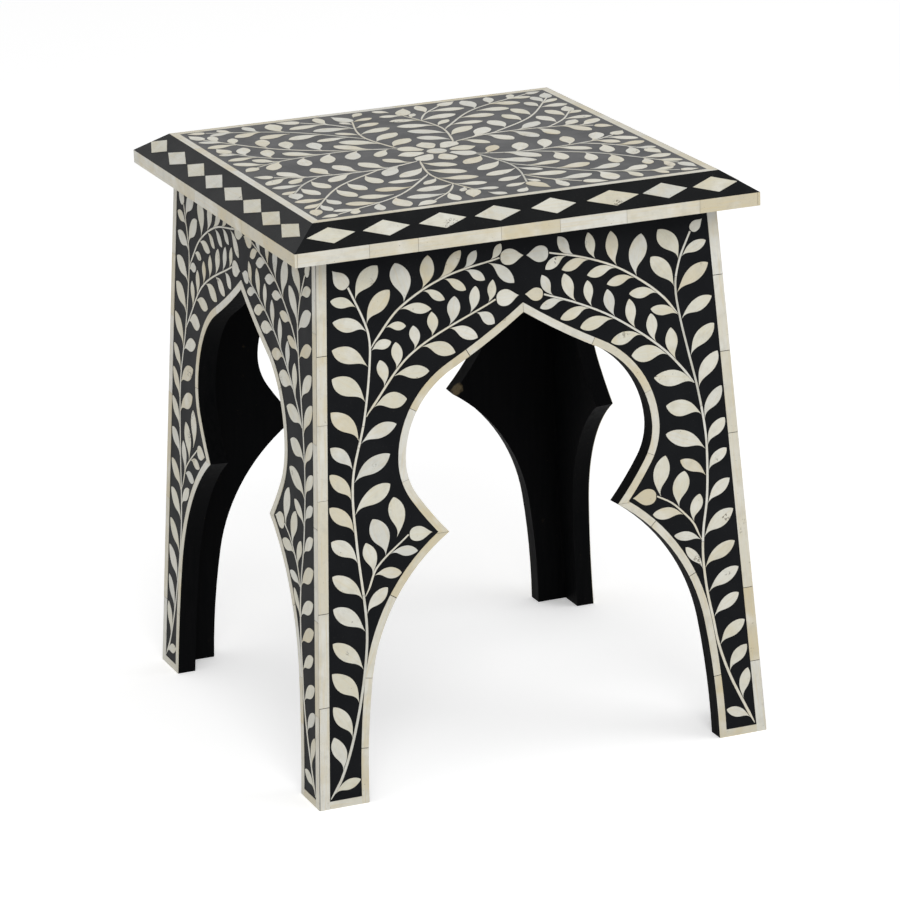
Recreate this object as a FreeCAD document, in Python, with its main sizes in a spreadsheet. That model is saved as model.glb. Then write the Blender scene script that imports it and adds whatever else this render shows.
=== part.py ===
import FreeCAD, Part
import Sketcher
import math
import os

# A square stool with four arched panels and a bevelled top, covered in bone inlay.
# Millimetres, +Z up, the origin on the floor under the middle of the stool.
# Each piece of a side is drawn at the front, which faces -Y, and turned about Z.

SIZES = {
    "slab_width": 380,
    "rim_height": 10.5,
    "bevel_rise": 15.5,
    "bevel_run": 23.5,
    "top_border_width": 7,
    "veneer_thickness": 2.5,
    "body_height": 430,
    "foot_setback": 0.4,
    "body_lean": 25.5,
    "panel_thickness": 15,
    "inlay_relief": 0.4,
    "leg_foot_width": 40.6,
    "leg_cusp_width": 106.9,
    "leg_lobe_width": 71.3,
    "apex_drop": 64.3,
    "lobe_drop": 100.5,
    "cusp_drop": 162.5,
    "leg_curve_radius": 683,
    "crown_curve_radius": 539,
    "edging_width": 6,
    "corner_strip_width": 8,
    "foot_strip_height": 6,
    "diamond_height": 16.4,
    "stem_width": 2.2,
    "stem_clearance": 0.3,
    "flower_centre_radius": 8,
    "petal_start": 12,
    "petal_length": 21,
    "petal_width": 15,
    "slant_petal_length": 20.5,
    "slant_petal_width": 15,
    "cleat_depth": 20,
    "cleat_height": 20,
    "block_leg": 25,
    "block_height": 60,
    "cut_overrun": 5,
}

SIDES = [("front", 0), ("right", 90), ("back", 180), ("left", 270)]
CENTRE_SIDES = 16

# Where the arch's outline turns, as shares of the steps between its named points.
KNEE_IN_SHARE = 0.112
KNEE_UP_SHARE = 0.48
NECK_OUT_SHARE = 0.76
NECK_UP_SHARE = 0.524
SHOULDER_OUT_SHARE = 0.59
SHOULDER_UP_SHARE = 0.642

# A leaf is a kite on the line from its base to its tip. Its two flanks are widest at
# these shares of the length, and reach out by these shares of the width.
LEAN_FLANK_SHARES = (0.70, 0.40)
FULL_FLANK_SHARES = (0.50, 0.60)
BUD_BELLY_SHARE = 0.40

# A base that is this share of the stems' clearance too far away counts as at its place.
NEAR_ENOUGH_SHARE = 0.1

# A petal's outline: along its length, and out from its middle line in half widths.
PETAL_SHARES = [(0, 0.30), (0.45, 1.0), (0.70, 0.90), (1.0, 0)]
SLANT_PETAL_SHARES = [(0, 0.28), (0.65, 1.0), (1.0, 0.45)]

# Where the diamonds of a row start and end along the middle of the bevel, as shares of its
# half length. The maker set them by hand too, wider apart in front than at the left.
FRONT_DIAMOND_SHARES = [
    (-0.988, -0.770), (-0.739, -0.527), (-0.485, -0.269), (-0.235, -0.023),
    (0.027, 0.232), (0.282, 0.524), (0.541, 0.751), (0.775, 0.991),
]
LEFT_DIAMOND_SHARES = [
    (-0.998, -0.776), (-0.753, -0.505), (-0.486, -0.256), (-0.245, -0.011),
    (0.004, 0.245), (0.256, 0.486), (0.492, 0.724), (0.729, 0.961),
]

# The foliage of a panel's two halves, which the maker drew by hand, each a little different.
# The first share of a place runs across, from the arch's edging at 0 to the corner strip
# at 1, and the second up the panel's slant. Over the arch, 0 is the panel's middle line.
# The heights below are those of the foot strip's top, the arch's cusp, lobe and apex,
# and the panel's head.
# A leaf has its base, its tip, and its width as a share of its length. Each table
# says on which hand of the line from base to tip the fuller flank lies.
PANEL_LEVEL_SHARES = (0.0139, 0.4736, 0.6175, 0.8508, 1)
LEFT_HALF_STEM_SHARES = [
    [(0.96, 0.018), (0.62, 0.052), (0.27, 0.116), (0.05, 0.205), (0.10, 0.290), (0.31, 0.348),
     (0.74, 0.478), (0.65, 0.592), (0.54, 0.700), (0.72, 0.813), (0.79, 0.859), (0.89, 0.937)],
    [(0.40, 0.392), (0.41, 0.430), (0.26, 0.480)],
    [(0.50, 0.712), (0.42, 0.805), (0.14, 0.880)],
    [(0.72, 0.838), (0.63, 0.889), (0.40, 0.932), (0.11, 0.953)],
]
LEFT_HALF_LEFT_LEAF_SHARES = [
    (0.66, 0.070, 0.86, 0.131, 0.43), (0.30, 0.125, 0.88, 0.187, 0.43),
    (0.13, 0.187, 0.92, 0.248, 0.42), (0.06, 0.245, 0.91, 0.303, 0.38),
    (0.22, 0.315, 0.92, 0.366, 0.40), (0.43, 0.373, 0.95, 0.425, 0.39),
    (0.67, 0.442, 0.97, 0.488, 0.45), (0.77, 0.498, 0.98, 0.550, 0.37),
    (0.70, 0.557, 0.97, 0.609, 0.37), (0.64, 0.612, 0.96, 0.657, 0.42),
    (0.58, 0.662, 0.96, 0.720, 0.43), (0.59, 0.730, 0.96, 0.779, 0.46),
    (0.70, 0.792, 0.97, 0.830, 0.44), (0.79, 0.854, 0.97, 0.879, 0.40),
    (0.84, 0.897, 0.98, 0.917, 0.42),
    (0.44, 0.418, 0.66, 0.477, 0.43), (0.42, 0.453, 0.52, 0.518, 0.46),
    (0.37, 0.479, 0.18, 0.552, 0.43),
    (0.49, 0.758, 0.63, 0.801, 0.45), (0.45, 0.782, 0.59, 0.829, 0.46),
    (0.41, 0.807, 0.54, 0.854, 0.47), (0.37, 0.829, 0.47, 0.874, 0.46),
    (0.32, 0.845, 0.35, 0.896, 0.44), (0.27, 0.865, 0.24, 0.909, 0.41),
    (0.18, 0.878, 0.15, 0.916, 0.42),
    (0.61, 0.898, 0.65, 0.969, 0.50), (0.52, 0.920, 0.48, 0.975, 0.47),
    (0.43, 0.932, 0.31, 0.976, 0.37), (0.30, 0.946, 0.23, 0.972, 0.44),
    (0.16, 0.956, 0.10, 0.978, 0.50),
]
LEFT_HALF_RIGHT_LEAF_SHARES = [
    (0.87, 0.025, 0.02, 0.046, 0.38), (0.25, 0.348, 0.11, 0.390, 0.39),
    (0.70, 0.527, 0.16, 0.577, 0.36), (0.61, 0.588, 0.12, 0.631, 0.38),
    (0.54, 0.656, 0.10, 0.683, 0.38), (0.72, 0.820, 0.62, 0.831, 0.47),
    (0.79, 0.869, 0.68, 0.923, 0.44), (0.84, 0.917, 0.74, 0.969, 0.44),
    (0.37, 0.414, 0.03, 0.413, 0.43), (0.36, 0.448, 0.03, 0.448, 0.40),
    (0.46, 0.718, 0.10, 0.725, 0.50), (0.41, 0.765, 0.09, 0.769, 0.38),
    (0.37, 0.811, 0.06, 0.795, 0.43), (0.31, 0.838, 0.03, 0.816, 0.38),
    (0.22, 0.860, 0.03, 0.837, 0.47),
    (0.70, 0.856, 0.58, 0.855, 0.42), (0.62, 0.881, 0.47, 0.879, 0.34),
    (0.51, 0.909, 0.40, 0.892, 0.34), (0.40, 0.927, 0.29, 0.904, 0.35),
    (0.30, 0.938, 0.19, 0.917, 0.37), (0.17, 0.944, 0.04, 0.905, 0.35),
]
LEFT_HALF_BUD_SHARES = [
    (0.26, 0.480, 0.05, 0.478, 0.66), (0.13, 0.880, 0.02, 0.882, 0.70),
    (0.11, 0.953, -0.015, 0.952, 0.68), (0.90, 0.937, 0.97, 0.970, 0.67),
]
RIGHT_HALF_STEM_SHARES = [
    [(0.95, 0.018), (0.69, 0.055), (0.29, 0.119), (0.08, 0.179), (0.05, 0.232), (0.10, 0.290),
     (0.30, 0.353), (0.50, 0.402), (0.70, 0.456), (0.73, 0.515), (0.68, 0.580), (0.63, 0.662),
     (0.64, 0.734), (0.73, 0.801), (0.79, 0.859), (0.83, 0.905), (0.90, 0.954)],
    [(0.40, 0.394), (0.41, 0.416), (0.38, 0.436), (0.34, 0.460), (0.27, 0.477)],
    [(0.57, 0.685), (0.49, 0.710), (0.40, 0.746), (0.35, 0.785), (0.31, 0.824),
     (0.23, 0.854), (0.11, 0.877)],
    [(0.72, 0.818), (0.70, 0.840), (0.65, 0.869), (0.50, 0.907), (0.33, 0.933), (0.15, 0.950)],
]
RIGHT_HALF_LEFT_LEAF_SHARES = [
    (0.64, 0.064, 0.90, 0.126, 0.38), (0.31, 0.125, 0.94, 0.171, 0.43),
    (0.13, 0.179, 0.95, 0.219, 0.43), (0.07, 0.233, 0.87, 0.272, 0.38),
    (0.13, 0.282, 0.94, 0.321, 0.35), (0.26, 0.329, 0.93, 0.371, 0.37),
    (0.47, 0.387, 0.97, 0.432, 0.42), (0.67, 0.446, 0.97, 0.490, 0.40),
    (0.75, 0.511, 0.96, 0.547, 0.42), (0.72, 0.558, 0.97, 0.604, 0.42),
    (0.68, 0.608, 0.97, 0.664, 0.36), (0.64, 0.665, 0.97, 0.729, 0.41),
    (0.66, 0.728, 0.97, 0.781, 0.41), (0.74, 0.797, 0.98, 0.831, 0.39),
    (0.79, 0.846, 0.98, 0.893, 0.38), (0.83, 0.907, 0.98, 0.934, 0.38),
    (0.46, 0.421, 0.66, 0.469, 0.44), (0.40, 0.453, 0.47, 0.516, 0.47),
    (0.31, 0.477, 0.16, 0.550, 0.44),
    (0.47, 0.724, 0.61, 0.784, 0.41), (0.39, 0.762, 0.56, 0.815, 0.42),
    (0.36, 0.791, 0.51, 0.847, 0.41), (0.32, 0.814, 0.44, 0.870, 0.39),
    (0.28, 0.842, 0.34, 0.891, 0.38), (0.24, 0.855, 0.22, 0.909, 0.37),
    (0.16, 0.874, 0.105, 0.912, 0.40),
    (0.60, 0.887, 0.64, 0.962, 0.45), (0.50, 0.911, 0.48, 0.974, 0.41),
    (0.39, 0.927, 0.36, 0.977, 0.42), (0.28, 0.940, 0.20, 0.977, 0.45),
]
RIGHT_HALF_RIGHT_LEAF_SHARES = [
    (0.85, 0.028, 0.06, 0.052, 0.40), (0.16, 0.328, 0.08, 0.373, 0.30),
    (0.39, 0.383, 0.04, 0.398, 0.33), (0.72, 0.501, 0.38, 0.537, 0.38),
    (0.68, 0.551, 0.10, 0.589, 0.38), (0.61, 0.616, 0.13, 0.641, 0.44),
    (0.60, 0.676, 0.10, 0.696, 0.39), (0.72, 0.805, 0.58, 0.823, 0.35),
    (0.78, 0.858, 0.68, 0.917, 0.44), (0.82, 0.908, 0.73, 0.965, 0.48),
    (0.36, 0.434, 0.04, 0.444, 0.38),
    (0.40, 0.734, 0.04, 0.743, 0.45), (0.35, 0.777, 0.03, 0.773, 0.39),
    (0.30, 0.813, 0.04, 0.807, 0.40), (0.27, 0.839, 0.03, 0.828, 0.36),
    (0.20, 0.860, 0.03, 0.853, 0.39),
    (0.67, 0.848, 0.53, 0.856, 0.37), (0.59, 0.882, 0.44, 0.879, 0.38),
    (0.50, 0.905, 0.34, 0.900, 0.36), (0.37, 0.927, 0.21, 0.916, 0.36),
    (0.24, 0.939, 0.125, 0.921, 0.39),
]
RIGHT_HALF_BUD_SHARES = [
    (0.27, 0.477, 0.03, 0.480, 0.66), (0.11, 0.877, 0.012, 0.882, 0.70),
    (0.15, 0.950, 0.03, 0.951, 0.74), (0.90, 0.954, 0.97, 0.974, 0.70),
]

# A quarter of the top's foliage, as shares of half the field: to the side, then back.
# The flower's slanted petals end at the middle one of the distances below.
TOP_LEVEL_SHARES = (0, 0.145, 1)
TOP_STEM_SHARES = [
    [(0.155, 0.165), (0.21, 0.42), (0.20, 0.58), (0.14, 0.81)],
    [(0.175, 0.155), (0.39, 0.22), (0.75, 0.19), (0.90, 0.12)],
    [(0.41, 0.235), (0.69, 0.45), (0.94, 0.81)],
    [(0.235, 0.45), (0.51, 0.76), (0.88, 0.95)],
    [(0.20, 0.70), (0.26, 0.80), (0.38, 0.92)],
    [(0.71, 0.22), (0.82, 0.32), (0.92, 0.47)],
]
TOP_RIGHT_LEAF_SHARES = [
    (0.14, 0.20, 0.02, 0.32, 0.46), (0.18, 0.34, 0.03, 0.47, 0.42),
    (0.19, 0.52, 0.02, 0.59, 0.42), (0.18, 0.66, 0.03, 0.72, 0.44),
    (0.14, 0.80, 0.02, 0.84, 0.42), (0.10, 0.90, 0.03, 0.97, 0.55),
    (0.27, 0.20, 0.41, 0.36, 0.42), (0.53, 0.22, 0.69, 0.34, 0.40),
    (0.77, 0.21, 0.87, 0.28, 0.48), (0.84, 0.16, 0.98, 0.25, 0.43),
    (0.49, 0.29, 0.48, 0.48, 0.46), (0.62, 0.39, 0.59, 0.57, 0.42),
    (0.71, 0.48, 0.68, 0.67, 0.41), (0.82, 0.63, 0.80, 0.77, 0.46),
    (0.87, 0.74, 0.88, 0.87, 0.40),
    (0.52, 0.77, 0.53, 0.97, 0.46), (0.63, 0.84, 0.67, 0.98, 0.40),
    (0.75, 0.90, 0.81, 0.98, 0.48), (0.26, 0.79, 0.28, 0.98, 0.38),
    (0.76, 0.28, 0.73, 0.45, 0.42), (0.85, 0.39, 0.82, 0.55, 0.42),
]
TOP_LEFT_LEAF_SHARES = [
    (0.20, 0.28, 0.36, 0.42, 0.40), (0.21, 0.51, 0.31, 0.61, 0.38),
    (0.20, 0.66, 0.39, 0.71, 0.42), (0.165, 0.745, 0.205, 0.825, 0.42),
    (0.19, 0.16, 0.30, 0.03, 0.43), (0.34, 0.20, 0.43, 0.04, 0.46),
    (0.48, 0.20, 0.56, 0.03, 0.40), (0.62, 0.20, 0.67, 0.03, 0.42),
    (0.75, 0.175, 0.85, 0.03, 0.46),
    (0.84, 0.62, 0.98, 0.63, 0.48), (0.89, 0.685, 0.98, 0.77, 0.40),
    (0.28, 0.49, 0.45, 0.49, 0.38), (0.37, 0.61, 0.56, 0.60, 0.46),
    (0.51, 0.72, 0.68, 0.69, 0.46), (0.61, 0.82, 0.78, 0.78, 0.50),
    (0.73, 0.88, 0.88, 0.88, 0.40), (0.27, 0.82, 0.48, 0.81, 0.40),
    (0.82, 0.32, 0.98, 0.32, 0.44), (0.91, 0.41, 0.98, 0.46, 0.50),
]
TOP_BUD_SHARES = [
    (0.14, 0.81, 0.20, 0.96, 0.52), (0.90, 0.12, 0.98, 0.06, 0.72),
    (0.94, 0.81, 0.98, 0.93, 0.55), (0.88, 0.95, 0.97, 0.97, 0.58),
    (0.38, 0.92, 0.49, 0.98, 0.60), (0.92, 0.47, 0.95, 0.59, 0.62),
]

doc = FreeCAD.newDocument("Stool")
nodes = []

# The sheet of sizes.
sheet = doc.addObject("Spreadsheet::Sheet", "Sizes")
for row, (size_name, size) in enumerate(SIZES.items(), 1):
    sheet.set("A%d" % row, size_name)
    sheet.set("B%d" % row, str(size))
    sheet.setAlias("B%d" % row, size_name)
doc.recompute()


def length_of(expression):
    """The number that an expression on the sheet comes to."""
    return float(sheet.evalExpression(expression))


def minus(expression):
    return "-(%s)" % expression


def turned(angle):
    """The place of a front piece once it is turned about the stool's middle line."""
    return FreeCAD.Placement(FreeCAD.Vector(), FreeCAD.Rotation(FreeCAD.Vector(0, 0, 1), angle))


def add_node(obj, name):
    obj.Label = name
    nodes.append(obj)


# Lengths worked out from the sheet.
FAR = "Sizes.slab_width"
SLANT = "sqrt(Sizes.body_lean ^ 2 + Sizes.body_height ^ 2)"
STRIP_SPAN = "(Sizes.corner_strip_width * sqrt(%s ^ 2 + Sizes.body_lean ^ 2) / %s)" % (
    SLANT, SLANT)
BEVEL_SLOPE = "sqrt(Sizes.bevel_run ^ 2 + Sizes.bevel_rise ^ 2)"
SLAB_HALF = "(Sizes.slab_width / 2)"
FOOT_HALF = "(%s - Sizes.foot_setback)" % SLAB_HALF
FLAT_HALF = "(%s - Sizes.bevel_run)" % SLAB_HALF
FIELD_HALF = "(%s - Sizes.top_border_width)" % FLAT_HALF
RIM_TOP = "(Sizes.body_height + Sizes.rim_height)"
SLAB_TOP = "(%s + Sizes.bevel_rise)" % RIM_TOP
CLEAT_FOOT = "(Sizes.body_height - Sizes.cleat_height)"
BLOCK_FOOT = "(%s - Sizes.block_height)" % CLEAT_FOOT

# Rim, bevel and flat veneers meet on lines that halve the angles between them.
CORE_HALF = "(%s - Sizes.veneer_thickness)" % SLAB_HALF
CORE_RIM_TOP = "(%s - Sizes.veneer_thickness * (%s - Sizes.bevel_rise) / Sizes.bevel_run)" % (
    RIM_TOP, BEVEL_SLOPE)
CORE_FLAT_HALF = "(%s - Sizes.veneer_thickness * (%s - Sizes.bevel_run) / Sizes.bevel_rise)" % (
    FLAT_HALF, BEVEL_SLOPE)
CORE_TOP = "(%s - Sizes.veneer_thickness)" % SLAB_TOP


def panel_half(height, depth):
    """Half the body's width at a height, at a depth under the panels' outer faces."""
    return "(%s - (Sizes.body_lean * %s + %s * %s) / Sizes.body_height)" % (
        FOOT_HALF, height, SLANT, depth)


def panel_edge(up):
    """How far from the panel's middle line its edge lies, at a way up the slant."""
    return "(%s - Sizes.body_lean * %s / %s)" % (FOOT_HALF, up, SLANT)


def strip_edge(up):
    """How far from the panel's middle line its corner strip begins."""
    return "(%s - %s)" % (panel_edge(up), STRIP_SPAN)


# Sketches.
def new_sketch(body, name, role):
    """A sketch on one of its body's own origin planes."""
    sketch = body.newObject("Sketcher::SketchObject", name)
    plane = [item for item in body.Origin.OriginFeatures if item.Role == role][0]
    sketch.AttachmentSupport = [(plane, "")]
    sketch.MapMode = "FlatFace"
    return sketch


def hold(sketch, corner, place, side=1):
    """Hold one end of a line or arc at a place given by two expressions."""
    across, up = place
    if side < 0:
        across = minus(across)
    for kind, expression in (("DistanceX", across), ("DistanceY", up)):
        distance = Sketcher.Constraint(kind, -1, 1, *corner, length_of(expression))
        number = sketch.addConstraint(distance)
        sketch.setExpression("Constraints[%d]" % number, expression)


def draw_outline(sketch, places):
    """A closed outline of straight lines through the places."""
    points = [FreeCAD.Vector(length_of(across), length_of(up), 0) for across, up in places]
    ends = points[1:] + points[:1]
    lines = [sketch.addGeometry(Part.LineSegment(*pair)) for pair in zip(points, ends)]
    for number, place in enumerate(places):
        sketch.addConstraint(Sketcher.Constraint("Coincident", lines[number - 1], 2, lines[number], 1))
        hold(sketch, (lines[number], 1), place)


def draw_arc(sketch, start, end, heading):
    """An arc that leaves start along a heading: its two ends in the sketch, radius and turn."""
    chord = end - start
    turn = 2 * (math.atan2(chord.y, chord.x) - heading)
    turn = math.remainder(turn, 2 * math.pi)
    radius = chord.Length / 2 / math.sin(turn / 2)
    centre = start + FreeCAD.Vector(-math.sin(heading), math.cos(heading), 0) * radius
    first, last = (start, end) if turn > 0 else (end, start)
    angles = [math.atan2(point.y - centre.y, point.x - centre.x) for point in (first, last)]
    if angles[1] < angles[0]:
        angles[1] += 2 * math.pi
    circle = Part.Circle(centre, FreeCAD.Vector(0, 0, 1), abs(radius))
    arc = sketch.addGeometry(Part.ArcOfCircle(circle, *angles))
    corners = ((arc, 1), (arc, 2)) if turn > 0 else ((arc, 2), (arc, 1))
    return corners, abs(radius), turn


def draw_chain(sketch, places, first_radius, side):
    """Arcs, each tangent to the one before, through the places. Gives the chain's two ends."""
    points = [FreeCAD.Vector(side * length_of(across), length_of(up), 0) for across, up in places]
    chord = points[1] - points[0]
    bend = math.asin(chord.Length / 2 / length_of(first_radius))
    heading = math.atan2(chord.y, chord.x) - side * bend
    chain = []
    for number, (start, end) in enumerate(zip(points, points[1:])):
        corners, radius, turn = draw_arc(sketch, start, end, heading)
        if chain:
            sketch.addConstraint(Sketcher.Constraint("Tangent", *chain[-1][1], *corners[0]))
            hold(sketch, corners[0], places[number], side)
        else:
            limit = sketch.addConstraint(Sketcher.Constraint("Radius", corners[0][0], radius))
            sketch.setExpression("Constraints[%d]" % limit, first_radius)
        chain.append(corners)
        heading += turn
    return chain[0][0], chain[-1][1]


# The arch. Places are out from the panel's middle line and up its slant.
APEX_UP = "(%s - Sizes.apex_drop)" % SLANT
LOBE_UP = "(%s - Sizes.lobe_drop)" % APEX_UP
CUSP_UP = "(%s - Sizes.cusp_drop)" % APEX_UP
FOOT_OUT = "(%s - Sizes.leg_foot_width)" % FOOT_HALF
CUSP_OUT = "(%s - Sizes.leg_cusp_width)" % panel_edge(CUSP_UP)
LOBE_OUT = "(%s - Sizes.leg_lobe_width)" % panel_edge(LOBE_UP)


def between(start, end, share):
    """The length a share of the way from one length to another."""
    return "(%s + %s * (%s - %s))" % (start, share, end, start)


FOOT = (FOOT_OUT, "0")
KNEE = (between(FOOT_OUT, CUSP_OUT, KNEE_IN_SHARE), between("0", CUSP_UP, KNEE_UP_SHARE))
CUSP = (CUSP_OUT, CUSP_UP)
NECK = (between(CUSP_OUT, LOBE_OUT, NECK_OUT_SHARE), between(CUSP_UP, LOBE_UP, NECK_UP_SHARE))
LOBE = (LOBE_OUT, LOBE_UP)
SHOULDER = (between("0", LOBE_OUT, SHOULDER_OUT_SHARE),
            between(LOBE_UP, APEX_UP, SHOULDER_UP_SHARE))
APEX = ("0", APEX_UP)


def draw_arch(sketch):
    """The arched opening, down to an overrun below the floor."""
    lows = []
    apexes = []
    for side in (1, -1):
        foot, cusp = draw_chain(sketch, [FOOT, KNEE, CUSP], "Sizes.leg_curve_radius", side)
        hold(sketch, foot, FOOT, side)
        hold(sketch, cusp, CUSP, side)
        apex, crown_end = draw_chain(
            sketch, [APEX, SHOULDER, LOBE, NECK, CUSP], "Sizes.crown_curve_radius", side)
        sketch.addConstraint(Sketcher.Constraint("Coincident", *crown_end, *cusp))
        apexes.append(apex)
        start = FreeCAD.Vector(side * length_of(FOOT[0]), 0, 0)
        below = FreeCAD.Vector(start.x, -length_of("Sizes.cut_overrun"), 0)
        line = sketch.addGeometry(Part.LineSegment(start, below))
        sketch.addConstraint(Sketcher.Constraint("Coincident", line, 1, *foot))
        hold(sketch, (line, 2), (FOOT[0], "-Sizes.cut_overrun"), side)
        lows.append((line, below))
    hold(sketch, apexes[0], APEX)
    sketch.addConstraint(Sketcher.Constraint("Coincident", *apexes[0], *apexes[1]))
    floor = sketch.addGeometry(Part.LineSegment(lows[0][1], lows[1][1]))
    sketch.addConstraint(Sketcher.Constraint("Coincident", floor, 1, lows[0][0], 2))
    sketch.addConstraint(Sketcher.Constraint("Coincident", floor, 2, lows[1][0], 2))


# Shapes on the front panel, whose own frame has its origin at the foot of the middle
# line, X across, Y up the slant and Z out of the outer face.
def lay_on_panel(obj):
    angle = "acos(Sizes.body_lean / %s)" % SLANT
    rotation = FreeCAD.Rotation(FreeCAD.Vector(1, 0, 0), length_of(angle))
    obj.Placement = FreeCAD.Placement(FreeCAD.Vector(), rotation)
    obj.setExpression("Placement.Base.y", minus(FOOT_HALF))
    obj.setExpression("Placement.Rotation.Angle", angle)


def panel_sketch(name):
    sketch = doc.addObject("Sketcher::SketchObject", name)
    lay_on_panel(sketch)
    return sketch


def cutting_prism(name, base):
    """A prism square to the panel, deeper than the panel on both its faces."""
    prism = doc.addObject("Part::Extrusion", name)
    prism.Base = base
    prism.DirMode = "Normal"
    prism.Symmetric = True
    prism.Solid = True
    prism.setExpression("LengthFwd", "2 * (Sizes.panel_thickness + Sizes.cut_overrun)")
    return prism


def combined(kind, name, base, tool):
    result = doc.addObject("Part::" + kind, name)
    result.Base = base
    result.Tool = tool
    return result


def grouped(name, pieces):
    group = doc.addObject("Part::Compound", name)
    group.Links = pieces
    return group


MITRE = [("0", "0"), (FAR, minus(FAR)), (FAR, "Sizes.cut_overrun"),
         (minus(FAR), "Sizes.cut_overrun"), (minus(FAR), minus(FAR))]


def mitred_lath(name, section):
    """A lath along the front, mitred to its neighbours. The section is drawn in Y and Z."""
    body = doc.addObject("PartDesign::Body", name)
    profile = new_sketch(body, name + "_section", "YZ_Plane")
    draw_outline(profile, section)
    pad = body.newObject("PartDesign::Pad", name + "_length")
    pad.Profile = profile
    pad.Midplane = True
    pad.setExpression("Length", FAR)
    mitre = new_sketch(body, name + "_mitre", "XY_Plane")
    draw_outline(mitre, MITRE)
    ends = body.newObject("PartDesign::Pocket", name + "_ends")
    ends.Profile = mitre
    ends.Type = "ThroughAll"
    ends.Midplane = True
    doc.recompute()
    if not 0 < ends.Shape.Volume < pad.Shape.Volume:
        raise ValueError(name + " has no mitres")
    return body


# The top: a board with a bevelled edge.
def make_top_board():
    body = doc.addObject("PartDesign::Body", "top_board")
    outline = new_sketch(body, "top_board_outline", "XY_Plane")
    outline.setExpression("AttachmentOffset.Base.z", "Sizes.body_height")
    draw_outline(outline, [(CORE_HALF, CORE_HALF), (minus(CORE_HALF), CORE_HALF),
                           (minus(CORE_HALF), minus(CORE_HALF)), (CORE_HALF, minus(CORE_HALF))])
    pad = body.newObject("PartDesign::Pad", "top_board_thickness")
    pad.Profile = outline
    pad.setExpression("Length", "%s - Sizes.body_height" % CORE_TOP)
    doc.recompute()
    top = length_of(CORE_TOP)
    edges = ["Edge%d" % number for number, edge in enumerate(pad.Shape.Edges, 1)
             if all(math.isclose(vertex.Z, top) for vertex in edge.Vertexes)]
    bevel = body.newObject("PartDesign::Chamfer", "top_board_bevel")
    bevel.Base = (pad, edges)
    bevel.ChamferType = "Two distances"
    bevel.setExpression("Size", "%s - %s" % (CORE_TOP, CORE_RIM_TOP))
    bevel.setExpression("Size2", "%s - %s" % (CORE_HALF, CORE_FLAT_HALF))
    doc.recompute()
    flat = [face for face in bevel.Shape.Faces if math.isclose(face.BoundBox.ZMin, top)][0]
    if not math.isclose(flat.BoundBox.XMax, length_of(CORE_FLAT_HALF)):
        raise ValueError("the top board's bevel lies the wrong way round")
    add_node(body, "top_board")


def make_top_ground():
    ground = doc.addObject("Part::Box", "top_ground")
    ground.setExpression("Length", "2 * %s" % FIELD_HALF)
    ground.setExpression("Width", "2 * %s" % FIELD_HALF)
    ground.setExpression("Height", "Sizes.veneer_thickness")
    ground.setExpression("Placement.Base.x", minus(FIELD_HALF))
    ground.setExpression("Placement.Base.y", minus(FIELD_HALF))
    ground.setExpression("Placement.Base.z", CORE_TOP)
    add_node(ground, "top_ground")


RIM_SECTION = [
    (minus(SLAB_HALF), "Sizes.body_height"), (minus(SLAB_HALF), RIM_TOP),
    (minus(CORE_HALF), CORE_RIM_TOP), (minus(CORE_HALF), "Sizes.body_height"),
]
BEVEL_SECTION = [
    (minus(SLAB_HALF), RIM_TOP), (minus(FLAT_HALF), SLAB_TOP),
    (minus(CORE_FLAT_HALF), CORE_TOP), (minus(CORE_HALF), CORE_RIM_TOP),
]
BORDER_SECTION = [
    (minus(FLAT_HALF), SLAB_TOP), (minus(FIELD_HALF), SLAB_TOP),
    (minus(FIELD_HALF), CORE_TOP), (minus(CORE_FLAT_HALF), CORE_TOP),
]
CLEAT_BACK = "(%s - Sizes.cleat_depth)" % panel_half("Sizes.body_height", "Sizes.panel_thickness")
CLEAT_SECTION = [
    (minus(panel_half("Sizes.body_height", "Sizes.panel_thickness")), "Sizes.body_height"),
    (minus(CLEAT_BACK), "Sizes.body_height"), (minus(CLEAT_BACK), CLEAT_FOOT),
    (minus(panel_half(CLEAT_FOOT, "Sizes.panel_thickness")), CLEAT_FOOT),
]


def panel_section(outer_depth, inner_depth):
    """The section of a leaning sheet between two depths under the panel's outer face."""
    return [
        (minus(panel_half("0", outer_depth)), "0"),
        (minus(panel_half("Sizes.body_height", outer_depth)), "Sizes.body_height"),
        (minus(panel_half("Sizes.body_height", inner_depth)), "Sizes.body_height"),
        (minus(panel_half("0", inner_depth)), "0"),
    ]


def make_laths():
    """The four bone rims, black bevels and bone borders of the top, and the inner cleats."""
    kinds = [("rim_band", RIM_SECTION), ("bevel_ground", BEVEL_SECTION),
             ("top_border", BORDER_SECTION), ("top_cleat", CLEAT_SECTION)]
    for kind, section in kinds:
        for side, angle in SIDES:
            name = kind + "_" + side
            lath = mitred_lath(name, section)
            lath.Placement = turned(angle)
            add_node(lath, name)


# The corner blocks under the cleats.
def make_corner_blocks():
    blocks = []
    for side, angle in SIDES:
        body = doc.addObject("PartDesign::Body", "corner_block_" + side)
        sections = []
        for level, height in (("foot", BLOCK_FOOT), ("head", CLEAT_FOOT)):
            sketch = new_sketch(body, "corner_block_%s_%s" % (level, side), "XY_Plane")
            sketch.setExpression("AttachmentOffset.Base.z", height)
            corner = panel_half(height, "Sizes.panel_thickness")
            edge = "(%s - Sizes.block_leg)" % corner
            draw_outline(sketch, [(corner, minus(corner)), (corner, minus(edge)),
                                  (edge, minus(corner))])
            sections.append(sketch)
        block = body.newObject("PartDesign::AdditiveLoft", "corner_block_loft_" + side)
        block.Profile = sections[0]
        block.Sections = sections[1:]
        block.Ruled = True
        body.Placement = turned(angle)
        blocks.append(body)
    add_node(grouped("corner_blocks", blocks), "corner_blocks")


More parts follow.
